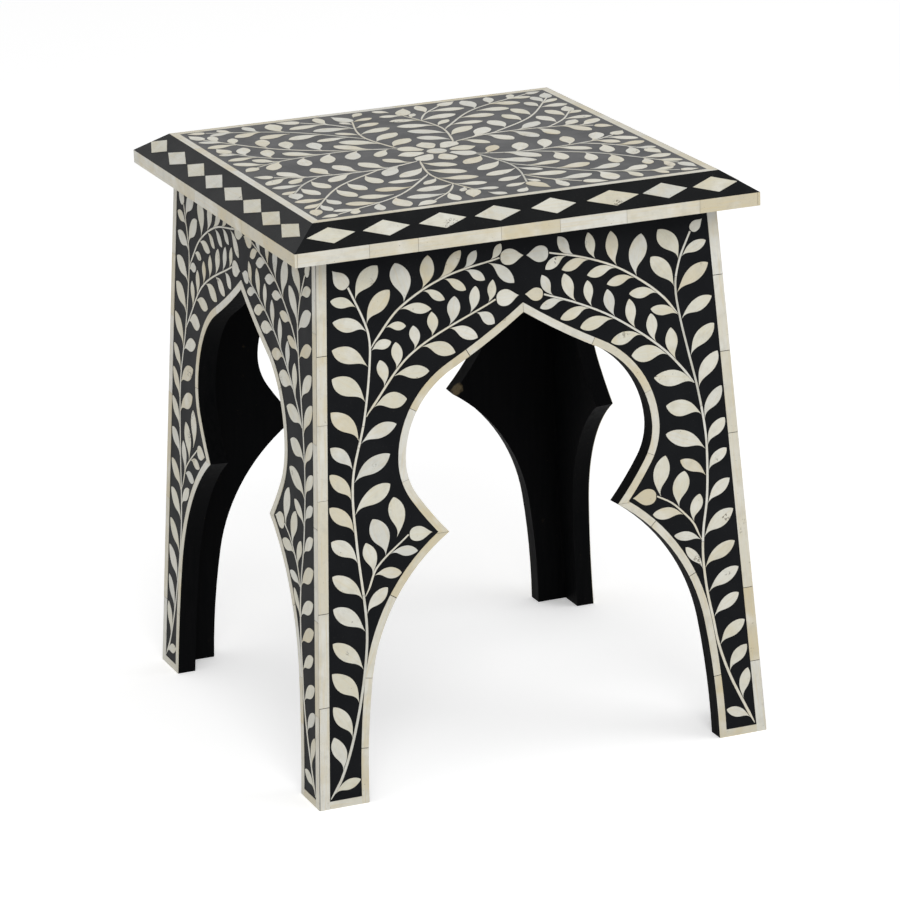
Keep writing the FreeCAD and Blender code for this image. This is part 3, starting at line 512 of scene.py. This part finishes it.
def panel_material(name):
    """A side board: black resin outside, and matt black paint brushed on inside and on the arch."""
    made = Nodes(name)
    place = made.add("ShaderNodeTexCoord").outputs["Object"]
    normal = made.add("ShaderNodeNewGeometry").outputs["Normal"]
    level_place = made.vector_math("MULTIPLY", place, (1.0, 1.0, 0.0))
    outside = made.range(made.vector_math("DOT_PRODUCT", level_place, normal), 0.10, 0.12)
    cloud = made.noise(place, CLOUD_SCALE, 4.0, 0.6)
    resin = made.mix(made.range(cloud, 0.35, 0.70), srgb(22, 23, 25), srgb(26, 27, 29))
    dust = made.noise(place, DUST_SCALE, 1.0)
    resin = made.mix(made.range(dust, 0.72, 0.78, 0.0, 0.4), resin, srgb(82, 80, 78))
    brushed = made.noise(made.vector_math("MULTIPLY", place, (300.0, 300.0, 14.0)), 1.0, 3.0)
    paint = made.mix(made.range(brushed, 0.3, 0.7), srgb(6, 7, 8), srgb(13, 13, 14))
    rubbed = made.range(made.noise(place, 110.0, 5.0, 0.75), 0.66, 0.76, 0.0, 0.7)
    paint = made.mix(rubbed, paint, srgb(62, 54, 42))
    near = made.range(made.vector_math("DISTANCE", place, RUBBED_CUSP), 0.001, 0.011, 1.0, 0.0)
    ragged = made.math("ADD", near, made.noise(place, 210.0, 4.0, 0.7))
    worn = made.range(ragged, 0.90, 1.20, 0.0, 0.85)
    paint = made.mix(worn, paint, srgb(118, 105, 80))
    made.feed(made.shader.inputs["Base Color"], made.mix(outside, paint, resin))
    resin_haze = made.range(cloud, 0.3, 0.7, 0.36, 0.46)
    paint_haze = made.range(brushed, 0.3, 0.7, 0.52, 0.68)
    difference = made.math("SUBTRACT", resin_haze, paint_haze)
    haze = made.math("MULTIPLY_ADD", difference, outside, paint_haze)
    made.feed(made.shader.inputs["Roughness"], haze)
    made.shader.inputs["Specular IOR Level"].default_value = 0.024
    still = made.math("SUBTRACT", 1.0, outside)
    made.bump(made.math("MULTIPLY", brushed, still), 0.00015, 0.5)
    return made.material


def paint_material(name):
    """Matt black paint brushed along the wood."""
    made = Nodes(name)
    place = made.add("ShaderNodeTexCoord").outputs["Object"]
    brushed = made.noise(made.vector_math("MULTIPLY", place, (40.0, 320.0, 320.0)), 1.0, 3.0)
    paint = made.mix(made.range(brushed, 0.3, 0.7), srgb(7, 7, 8), srgb(15, 15, 15))
    rubbed = made.range(made.noise(place, 160.0, 5.0, 0.7), 0.70, 0.80, 0.0, 0.5)
    made.feed(made.shader.inputs["Base Color"], made.mix(rubbed, paint, srgb(66, 56, 44)))
    made.feed(made.shader.inputs["Roughness"], made.range(brushed, 0.3, 0.7, 0.55, 0.72))
    made.shader.inputs["Specular IOR Level"].default_value = 0.2
    made.bump(brushed, 0.00015, 0.6)
    return made.material


bone = bone_material("bone", [
    (0.0, srgb(199, 200, 194)), (0.30, srgb(213, 212, 202)), (0.72, srgb(206, 204, 188)),
    (0.94, srgb(204, 198, 178)), (1.0, srgb(197, 188, 162))],
    ochre=0.50, cloud_scale=85.0, spongy_level=0.66)
# The top's bone is the panels' bone painted lighter. This is painted light for the top, which faces
# up into the light.
top_bone_painted_lighter = bone_material("top_bone_painted_lighter", [
    (0.0, srgb(208, 209, 203)), (0.30, srgb(223, 221, 211)), (0.72, srgb(216, 213, 197)),
    (0.94, srgb(214, 207, 187)), (1.0, srgb(207, 197, 171))],
    ochre=0.45, cloud_scale=85.0, spongy_level=0.66)
pale_bone = bone_material("pale_bone", [
    (0.0, srgb(188, 188, 180)), (0.45, srgb(218, 217, 209)), (1.0, srgb(212, 207, 190))],
    ochre=0.30, cloud_scale=85.0, spongy_level=0.70)
strip_bone = bone_material("strip_bone", [
    (0.0, srgb(211, 211, 205)), (0.35, srgb(207, 204, 191)), (0.70, srgb(202, 197, 179)),
    (1.0, srgb(198, 188, 161))],
    ochre=0.75, cloud_scale=38.0, spongy_level=0.70)
panel_black = panel_material("panel_black")
wood_black = paint_material("wood_black")
top_resin = resin_material("top_resin", srgb(17, 18, 21), specular=0.145, smooth=0.30, dull=0.40)
bevel_resin = resin_material("bevel_resin", srgb(16, 17, 18),
                             specular=0.054, smooth=0.30, dull=0.42)

for name, node in nodes.items():
    if name.startswith("side_panel"):
        finish = panel_black
    elif name == "top_ground":
        finish = top_resin
    elif name.startswith("bevel_ground"):
        finish = bevel_resin
    elif name.startswith(("top_board", "top_cleat", "corner_blocks")):
        finish = wood_black
    else:
        finish = bone
    for slot in node.material_slots:
        slot.material = finish


# Foliage.
# How it is drawn: the bone of its leaves, how full and blunt they are, how thick the stems are,
# and the heights at which the main stems are joined, left and right of the middle.
Manner = namedtuple("Manner", "bone fullness bluntness thickness joints")
PANEL_MANNER = Manner(bone=bone, fullness=0.97, bluntness=0.88, thickness=1.0,
                      joints={False: (0.165, 0.296), True: (0.163, 0.272, 0.377)})
# The top's leaves and buds use the bone painted lighter for the light on the top.
TOP_MANNER = Manner(bone=top_bone_painted_lighter, fullness=0.93, bluntness=1.2, thickness=1.05, joints={})


def stem_line(outline):
    """The middle line of a stem whose outline runs up one side and down the other."""
    count = len(outline) // 2
    spans = [(outline[(i + 1) % (2 * count)] - outline[i]).length for i in range(2 * count)]
    end = min(range(count), key=lambda i: spans[i] + spans[i + count])
    return [(outline[(end + 1 + k) % (2 * count)] + outline[end - k]) / 2 for k in range(count)]


def along_line(line):
    """How far along a line each of its places lies."""
    reach = [0.0]
    for start, end in zip(line, line[1:]):
        reach.append(reach[-1] + (end - start).length)
    return reach


def grow_stems(outlines, bud_bases, thickness):
    """Smooth stems through the given ones: a line and its half widths for each."""
    lines = [stem_line(outline) for outline in outlines]
    others = []
    for number in range(len(lines)):
        rest = Obstacles()
        for other, line in enumerate(lines):
            if other != number:
                rest.add(line, 0.0)
        rest.freeze()
        others.append(rest)
    grown = []
    for line, rest in zip(lines, others):
        ends = []
        for spot in (line[0], line[-1]):
            bud = min((spot - base).length for base in bud_bases)
            ends.append("bud" if bud < JOIN_REACH else "free")
        if ends[0] == "bud":
            line = line[::-1]
            ends = ends[::-1]
        gap, nearest, way = rest.distance(line[0])
        if gap < BRANCH_REACH:
            growth = (line[1] - line[0]).normalized()
            way = way.normalized()
            if way.dot(growth) < 0:
                way = -way
            side = (line[0] - nearest).normalized()
            line = [nearest - way * (0.002 + gap * 0.6) + side * STEM_HALF * 1.35] + line
        fine = spline(line, STEM_STEP)
        reach = along_line(fine)
        root = STEM_HALF * thickness * min(1.0, 0.74 + 0.26 * reach[-1] / FULL_STEM)
        halves = []
        for spot in reach:
            start = 0.30 + 0.70 * min(1.0, spot / ROOT_TAPER)
            finish = 1.0
            if ends[1] == "free":
                finish = 0.35 + 0.65 * min(1.0, (reach[-1] - spot) / END_TAPER)
            halves.append(lerp(root, root * 0.72, spot / reach[-1]) * min(start, finish))
        grown.append((fine, halves))
    return grown


def laid_in_lengths(line, halves, joints):
    """A main stem cut at its joints, whose heights are given for each side of the middle."""
    heights = joints.get(line[0].x > 0, ()) if along_line(line)[-1] > MAIN_STEM else ()
    lengths = []
    places, widths = [line[0]], [halves[0]]
    for start, end, half in zip(line, line[1:], halves[1:]):
        for height in heights:
            if (start.y - height) * (end.y - height) < 0:
                share = (height - start.y) / (end.y - start.y)
                spot = lerp(start, end, share)
                gap = (end - start).normalized() * (SEAM / 2)
                lengths.append((places + [spot - gap], widths + [half]))
                places, widths = [spot + gap], [half]
        places.append(end)
        widths.append(half)
    return lengths + [(places, widths)]


def kite_parts(outline, belly_at_tip):
    """The base, tip and two flanks of a kite, with the flanks as (along, out) shares."""
    a, b, c, d = outline
    if (a - c).length < (b - d).length:
        a, b, c, d = b, c, d, a
    way = c - a
    belly = ((b + d) / 2 - a).dot(way) / way.length_squared
    if (belly > 0.5) != belly_at_tip:
        a, c, b, d = c, a, d, b
        way = c - a
    flanks = []
    for spot in (b, d):
        off = spot - a
        flanks.append((off.dot(way) / way.length_squared,
                       off.dot(left_of(way)) / way.length_squared))
    return a, c, flanks


def leaf_line(base, tip, flanks, dice, manner):
    """A leaf's curved outline. The fuller flank is round and the other hollows to a fine tail."""
    full, lean = sorted(flanks, key=lambda flank: -abs(flank[1]))
    hand = 1 if full[1] > 0 else -1
    width = (abs(full[1]) + abs(lean[1])) * manner.fullness * dice.uniform(0.94, 1.05)
    way = tip - base
    side = left_of(way) * hand
    tail = dice.uniform(0.07, 0.14)
    high = width * dice.uniform(0.58, 0.64)
    low = width * dice.uniform(0.37, 0.43)
    peak = dice.uniform(0.55, 0.62) + 0.2 * (manner.bluntness - 1)
    deep = dice.uniform(0.62, 0.68)
    blunt = dice.uniform(0.85, 1.25) * manner.bluntness

    def spot(along, out):
        return base + way * along + side * out

    upper = bezier(spot(0, 0), spot(0.17, tail * 0.8), spot(peak - 0.27, high),
                   spot(peak, high), 9)
    upper += bezier(spot(peak, high), spot(peak + 0.18, high),
                    spot(0.95, high * 0.50 * blunt), spot(1, 0), 7)
    lower = bezier(spot(0, 0), spot(0.27, tail * 0.9), spot(deep - 0.30, -low),
                   spot(deep, -low), 9)
    lower += bezier(spot(deep, -low), spot(deep + 0.17, -low),
                    spot(0.95, -low * 0.42 * blunt), spot(1, 0), 7)
    outline = upper + [tip] + lower[:0:-1]
    return outline if hand < 0 else outline[::-1]


def bud_line(base, tip, flanks, dice, manner):
    """A bud's outline: a round belly that draws in to a point."""
    width = (abs(flanks[0][1]) + abs(flanks[1][1])) * manner.fullness * dice.uniform(0.97, 1.05)
    way = tip - base
    side = left_of(way)
    half = width / 2

    def spot(along, out):
        return base + way * along + side * out

    lines = []
    for out in (-half, half):
        line = bezier(spot(0, 0), spot(-0.01, out * 0.62), spot(0.14, out), spot(0.38, out), 7)
        line += bezier(spot(0.38, out), spot(0.64, out), spot(0.80, out * 0.28), spot(1, 0), 8)
        lines.append(line)
    return lines[0] + [tip] + lines[1][:0:-1]


def fitted(outline, base, tip, obstacles):
    """The outline drawn in towards its middle line wherever an obstacle is too near."""
    way = tip - base
    fitted_line = []
    for point in outline:
        share = max(0.02, min(0.98, (point - base).dot(way) / way.length_squared))
        axis = base + way * share
        place = point
        for step in range(FIT_STEPS):
            place = lerp(point, axis, step / FIT_STEPS)
            if obstacles.distance(place)[0] > 0 and not obstacles.crossed(axis, place):
                break
        fitted_line.append(place)
    return fitted_line


def area_of(outline):
    return sum(a.cross(b) for a, b in zip(outline, outline[1:] + outline[:1])) / 2


def grow_foliage(where, plane, suffix, walls, manner):
    """The stems, leaves and buds on one plane."""
    dice = random.Random(where)
    given = {kind: outlines_of(where + "_" + kind + suffix, plane)
             for kind in ("buds", "leaves", "stems")}
    bud_kites = [kite_parts(outline, False) for outline in given["buds"]]
    leaf_kites = [kite_parts(outline, True) for outline in given["leaves"]]
    grown = grow_stems(given["stems"], [kite[0] for kite in bud_kites], manner.thickness)
    stems = [length for line, halves in grown
             for length in laid_in_lengths(line, halves, manner.joints)]
    stem_mesh = bmesh.new()
    stem_edges = Obstacles()
    obstacles = Obstacles()
    for line, halves in stems:
        add_strip(stem_mesh, plane, line, halves, STEM_RELIEF)
        for start, end, half in zip(line, line[1:], halves):
            stem_edges.add([start, end], half)
            obstacles.add([start, end], half + STEM_CLEAR)
    stem_edges.freeze()
    for wall in walls:
        obstacles.add(wall, CLEAR, closed=True)
    obstacles.freeze()
    meshes = {}
    for kind, kites, draw in (("buds", bud_kites, bud_line), ("leaves", leaf_kites, leaf_line)):
        mesh = bmesh.new()
        for base, tip, flanks in kites:
            gap, nearest, _ = stem_edges.distance(base)
            if gap < JOIN_REACH:
                away = (base - nearest).normalized()
                base = base - away * (gap - STEM_CLEAR * 1.5)
            outline = draw(base, tip, flanks, dice, manner)
            outline = fitted(outline, base, tip, obstacles)
            if area_of(outline) < 0:
                outline = outline[::-1]
            add_slab(mesh, plane, outline, LEAF_RELIEF * dice.uniform(0.85, 1.1))
            obstacles.add(outline, CLEAR * 0.7, closed=True)
            obstacles.freeze()
        meshes[kind] = mesh
    finish_piece("stems_" + where + suffix, stem_mesh, pale_bone, [where + "_stems" + suffix])
    for kind, mesh in meshes.items():
        finish_piece(kind + "_" + where + suffix, mesh, manner.bone, [where + "_" + kind + suffix])


def arch_of(plane):
    """The outline of the strip that edges one side's arch."""
    return max(outlines_of("arch_edging", plane), key=len)


panels = {}
for side, outward in OUTWARD.items():
    plane = Plane("panel_leaves_" + side, "side_panel_" + side, outward)
    panels[side] = plane
    walls = [*outlines_of("corner_edging_" + side, plane),
             *outlines_of("foot_edging_" + side, plane), arch_of(plane)]
    grow_foliage("panel", plane, "_" + side, walls, PANEL_MANNER)

top = Plane("top_leaves", "top_ground", UP)
flower = outlines_of("top_flower", top)
borders = [outline for side in OUTWARD for outline in outlines_of("top_border_" + side, top)]
grow_foliage("top", top, "", borders + flower, TOP_MANNER)

# The flower's round centre has more corners than a petal, so each side needs fewer steps.
SHARP_DEGREES = 62
MOST_PETAL_CORNERS = 10

flower_mesh = bmesh.new()
for outline in flower:
    steps = 3 if len(outline) > MOST_PETAL_CORNERS else 6
    add_slab(flower_mesh, top, softened(outline, steps, SHARP_DEGREES), LEAF_RELIEF)
# The flower uses the top's bone, painted lighter for the light on the top.
finish_piece("flower_top", flower_mesh, top_bone_painted_lighter, ["top_flower"])

dice = random.Random("diamonds")
for side, outward in OUTWARD.items():
    facing = (outward + UP * 1.5).normalized()
    plane = Plane("bevel_diamonds_" + side, "bevel_ground_" + side, facing)
    mesh = bmesh.new()
    for outline in outlines_of("bevel_diamonds_" + side, plane):
        middle = middle_of(outline)
        corners = []
        for corner in outline:
            wander = Vector([dice.uniform(-DIAMOND_WANDER, DIAMOND_WANDER) for _ in range(2)])
            corners.append(lerp(middle, corner, dice.uniform(0.98, 1.0)) + wander)
        add_slab(mesh, plane, corners, LEAF_RELIEF)
    finish_piece("diamonds_" + side, mesh, bone, ["bevel_diamonds_" + side])


# Strips of bone, cut into the lengths they were laid in. A joint of the arch cuts the faces
# this close to it.
STRIP_REACH = 0.011


def split(mesh, chosen, point, normal):
    """Divides the chosen faces along a plane."""
    faces = [face for face in mesh.faces if chosen(face)]
    geometry = list(dict.fromkeys(edge for face in faces for edge in face.edges))
    geometry += list(dict.fromkeys(vert for face in faces for vert in face.verts)) + faces
    bmesh.ops.bisect_plane(mesh, geom=geometry, dist=1e-7, plane_co=point, plane_no=normal)


def take_out(mesh, chosen, low, high, point, normal):
    """Removes the chosen faces between two distances from a plane."""
    gone = [face for face in mesh.faces
            if chosen(face) and low < (face.calc_center_median() - point).dot(normal) < high]
    bmesh.ops.delete(mesh, geom=gone, context="FACES")


def saw(mesh, point, normal, chosen, width=SEAM):
    """A saw cut through the chosen faces, square to a direction."""
    for shift in (-width / 2, width / 2):
        split(mesh, chosen, point + normal * shift, normal)
    take_out(mesh, chosen, -width / 2, width / 2, point, normal)


def pare(mesh, normal, gap, chosen):
    """Takes the edge off the chosen faces, up to a distance from a plane through the middle."""
    split(mesh, chosen, normal * gap, normal)
    take_out(mesh, chosen, -math.inf, gap, Vector(), normal)


def near_to(point):
    """Chooses faces with a corner close to a point."""
    def chosen(face):
        return any((vert.co - point).length < STRIP_REACH for vert in face.verts)
    return chosen


def on_side(direction):
    """Chooses faces that lie in a direction from the middle."""
    def chosen(face):
        return face.calc_center_median().dot(direction) > 0
    return chosen


def between(plane, direction, low, high):
    """Chooses faces that lie in a direction from the middle, between two heights."""
    def chosen(face):
        middle = face.calc_center_median()
        return middle.dot(direction) > 0 and low < plane.flat(middle).y < high
    return chosen


def every(face):
    return True


def copy_of(name):
    mesh = bmesh.new()
    mesh.from_mesh(nodes[name].data)
    bmesh.ops.remove_doubles(mesh, verts=mesh.verts, dist=1e-6)
    return mesh


def close_ends(mesh):
    """Fills the open ends that the saw cuts leave."""
    bmesh.ops.holes_fill(mesh, edges=[edge for edge in mesh.edges if edge.is_boundary], sides=0)


def finish_strips(name, mesh, replaced):
    close_ends(mesh)
    finish_piece(name, mesh, strip_bone, replaced, bevel=WORN_EDGE)


def scattered(spots, reach):
    """The spots, each moved by chance up to a distance either way."""
    return [spot + dice.uniform(-reach, reach) for spot in spots]


# Where the strips meet end to end, in metres along each side: as read for the front, and by
# chance about the given spots for the others. The side rims' ends show in front.
RIM_END = 0.1878
RIM_JOINTS = {"front": (-0.131, -0.092, -0.025, 0.023, 0.078, 0.139)}
RIM_SPOTS = (-0.138, -0.087, -0.034, 0.021, 0.069, 0.128)
BORDER_SPOTS = (-0.105, -0.030, 0.045, 0.112)
CORNER_JOINTS = {"front": ((0.081, 0.155, 0.243, 0.301, 0.354),
                           (0.059, 0.120, 0.247, 0.313, 0.374))}
CORNER_SPOTS = (0.07, 0.145, 0.225, 0.295, 0.362)

# How open the joint of two corner strips is, length by length from the foot up.
MITRE_WEAR = (1.0, 0.25, 0.2, 0.3, 0.5, 0.8)

for side, plane in panels.items():
    dice = random.Random("strips " + side)
    outward = OUTWARD[side]
    across = plane.across
    rim = copy_of("rim_band_" + side)
    joints = RIM_JOINTS.get(side) or scattered(RIM_SPOTS, 0.008)
    if side in ("front", "back"):
        joints = [-RIM_END, *joints, RIM_END]
    for joint in joints:
        saw(rim, across * joint, across, every)
    finish_strips("rim_" + side, rim, ["rim_band_" + side])

    border = copy_of("top_border_" + side)
    for joint in scattered(BORDER_SPOTS, 0.014):
        saw(border, across * joint, across, every)
    finish_strips("border_" + side, border, ["top_border_" + side])

    corners = copy_of("corner_edging_" + side)
    joints = CORNER_JOINTS.get(side) or [scattered(CORNER_SPOTS, 0.014) for _ in range(2)]
    for sideways, spots in zip((-across, across), joints):
        for spot in spots:
            saw(corners, plane.place(Vector((0, spot)), 0), plane.up, on_side(sideways),
                SEAM * dice.choice((1, 1, 2)))
        close_ends(corners)
        mitre = (outward - sideways).normalized()
        for low, high, wear in zip((-1, *spots), (*spots, 1), MITRE_WEAR):
            pare(corners, mitre, MITRE_GAP * wear, between(plane, sideways, low, high))
    finish_strips("corner_strips_" + side, corners, ["corner_edging_" + side])

    finish_strips("foot_strips_" + side, copy_of("foot_edging_" + side), ["foot_edging_" + side])

# The strips that follow the arch, with the heights of their joints left and right, and those
# between which the cusps lie.
ARCH_JOINTS = {"front": ((0.044, 0.099, 0.160, 0.249, 0.303, 0.341),
                         (0.052, 0.138, 0.184, 0.240, 0.290, 0.336))}
ARCH_SPOTS = (0.048, 0.104, 0.158, 0.250, 0.300, 0.339)
CUSP_HEIGHTS = (0.19, 0.22)


def crossings(outline, height, hand):
    """Where an outline crosses a height on one side of the middle, from the inside out."""
    found = []
    for start, end in zip(outline, outline[1:] + outline[:1]):
        if (start.y - height) * (end.y - height) < 0:
            spot = lerp(start, end, (height - start.y) / (end.y - start.y))
            if spot.x * hand > 0:
                found.append(spot)
    return sorted(found, key=lambda spot: abs(spot.x))


arches = copy_of("arch_edging")
for side, plane in panels.items():
    dice = random.Random("arch " + side)
    outline = arch_of(plane)
    joints = ARCH_JOINTS.get(side) or [scattered(ARCH_SPOTS, 0.012) for _ in range(2)]
    for hand, heights in zip((-1, 1), joints):
        for height in heights:
            middles = []
            for spot in (height - 0.002, height + 0.002):
                pair = crossings(outline, spot, hand)[:2]
                middles.append((pair[0] + pair[1]) / 2)
            way = (middles[1] - middles[0]).normalized()
            direction = plane.across * way.x + plane.up * way.y
            point = plane.place((middles[0] + middles[1]) / 2, 0)
            saw(arches, point, direction, near_to(point), SEAM * dice.choice((1, 1.5, 2.2)))
        low, high = CUSP_HEIGHTS
        cusp = min((spot for spot in outline if spot.x * hand > 0 and low < spot.y < high),
                   key=lambda spot: abs(spot.x))
        point = plane.place(cusp + Vector((hand * 0.003, 0)), 0)
        saw(arches, point, plane.up, near_to(point))
    apex = max(spot.y for spot in outline)
    point = plane.place(Vector((0, apex - 0.004)), 0)
    saw(arches, point, plane.across, near_to(point))
finish_strips("arch_strips", arches, ["arch_edging"])

# Floor, background and light. To the camera both are white, for which the floor glows a little,
# while the background lights the stool less than it shows.
FLOOR_REACH = 8.0
FLOOR_GLOW = 0.34
WORLD_LIGHT = 0.62

floor_mesh = bpy.data.meshes.new("floor")
corners = [(x * FLOOR_REACH, y * FLOOR_REACH, 0) for x, y in ((-1, -1), (1, -1), (1, 1), (-1, 1))]
floor_mesh.from_pydata(corners, [], [(0, 1, 2, 3)])
floor = bpy.data.objects.new("floor", floor_mesh)
bpy.context.scene.collection.objects.link(floor)
floor_look = Nodes("floor_white")
floor_look.feed(floor_look.shader.inputs["Base Color"], srgb(250, 250, 250))
floor_look.feed(floor_look.shader.inputs["Roughness"], 0.9)
floor_look.shader.inputs["Specular IOR Level"].default_value = 0.0
floor_look.shader.inputs["Emission Color"].default_value = (1, 1, 1, 1)
paths = floor_look.add("ShaderNodeLightPath").outputs
seen = floor_look.math("MAXIMUM", paths["Is Camera Ray"], paths["Is Glossy Ray"])
seen = floor_look.math("MAXIMUM", seen, paths["Is Transmission Ray"])
glow = floor_look.math("MULTIPLY", seen, FLOOR_GLOW)
floor_look.feed(floor_look.shader.inputs["Emission Strength"], glow)
floor_mesh.materials.append(floor_look.material)

world = bpy.data.worlds.new("studio")
bpy.context.scene.world = world
world.use_nodes = True
tree = world.node_tree
background = tree.nodes["Background"]
paths = tree.nodes.new("ShaderNodeLightPath")
seen = paths.outputs["Is Camera Ray"]
for ray in ("Is Glossy Ray", "Is Transmission Ray"):
    larger = tree.nodes.new("ShaderNodeMath")
    larger.operation = "MAXIMUM"
    tree.links.new(seen, larger.inputs[0])
    tree.links.new(paths.outputs[ray], larger.inputs[1])
    seen = larger.outputs[0]
strength = tree.nodes.new("ShaderNodeMapRange")
tree.links.new(seen, strength.inputs["Value"])
strength.inputs["To Min"].default_value = WORLD_LIGHT
strength.inputs["To Max"].default_value = 1.0
tree.links.new(strength.outputs["Result"], background.inputs["Strength"])
background.inputs["Color"].default_value = (1, 1, 1, 1)

STOOL_MIDDLE = Vector((0, 0, 0.25))


def add_lamp(name, place, size, power):
    """A square soft lamp turned towards the stool's middle."""
    data = bpy.data.lights.new(name, "AREA")
    data.size = size
    data.energy = power
    lamp = bpy.data.objects.new(name, data)
    bpy.context.scene.collection.objects.link(lamp)
    lamp.location = place
    lamp.rotation_euler = (STOOL_MIDDLE - Vector(place)).to_track_quat("-Z", "Y").to_euler()


add_lamp("key", (-0.7, -2.5, 2.4), size=1.6, power=36)
add_lamp("fill", (2.2, -1.2, 1.8), size=1.8, power=16)

# The camera, fitted to the photograph's corners and edges.
CAMERA_LENS = 172.066
CAMERA_PLACE = (-1.21156, -3.0764, 1.24335)
CAMERA_DEGREES = (72.6173, 1.9113, -22.1322)

camera_data = bpy.data.cameras.new("camera")
camera_data.lens = CAMERA_LENS
camera_data.sensor_width = 36
camera = bpy.data.objects.new("camera", camera_data)
bpy.context.scene.collection.objects.link(camera)
camera.location = CAMERA_PLACE
camera.rotation_euler = [math.radians(angle) for angle in CAMERA_DEGREES]
bpy.context.scene.camera = camera
bpy.context.scene.view_settings.view_transform = "Standard"
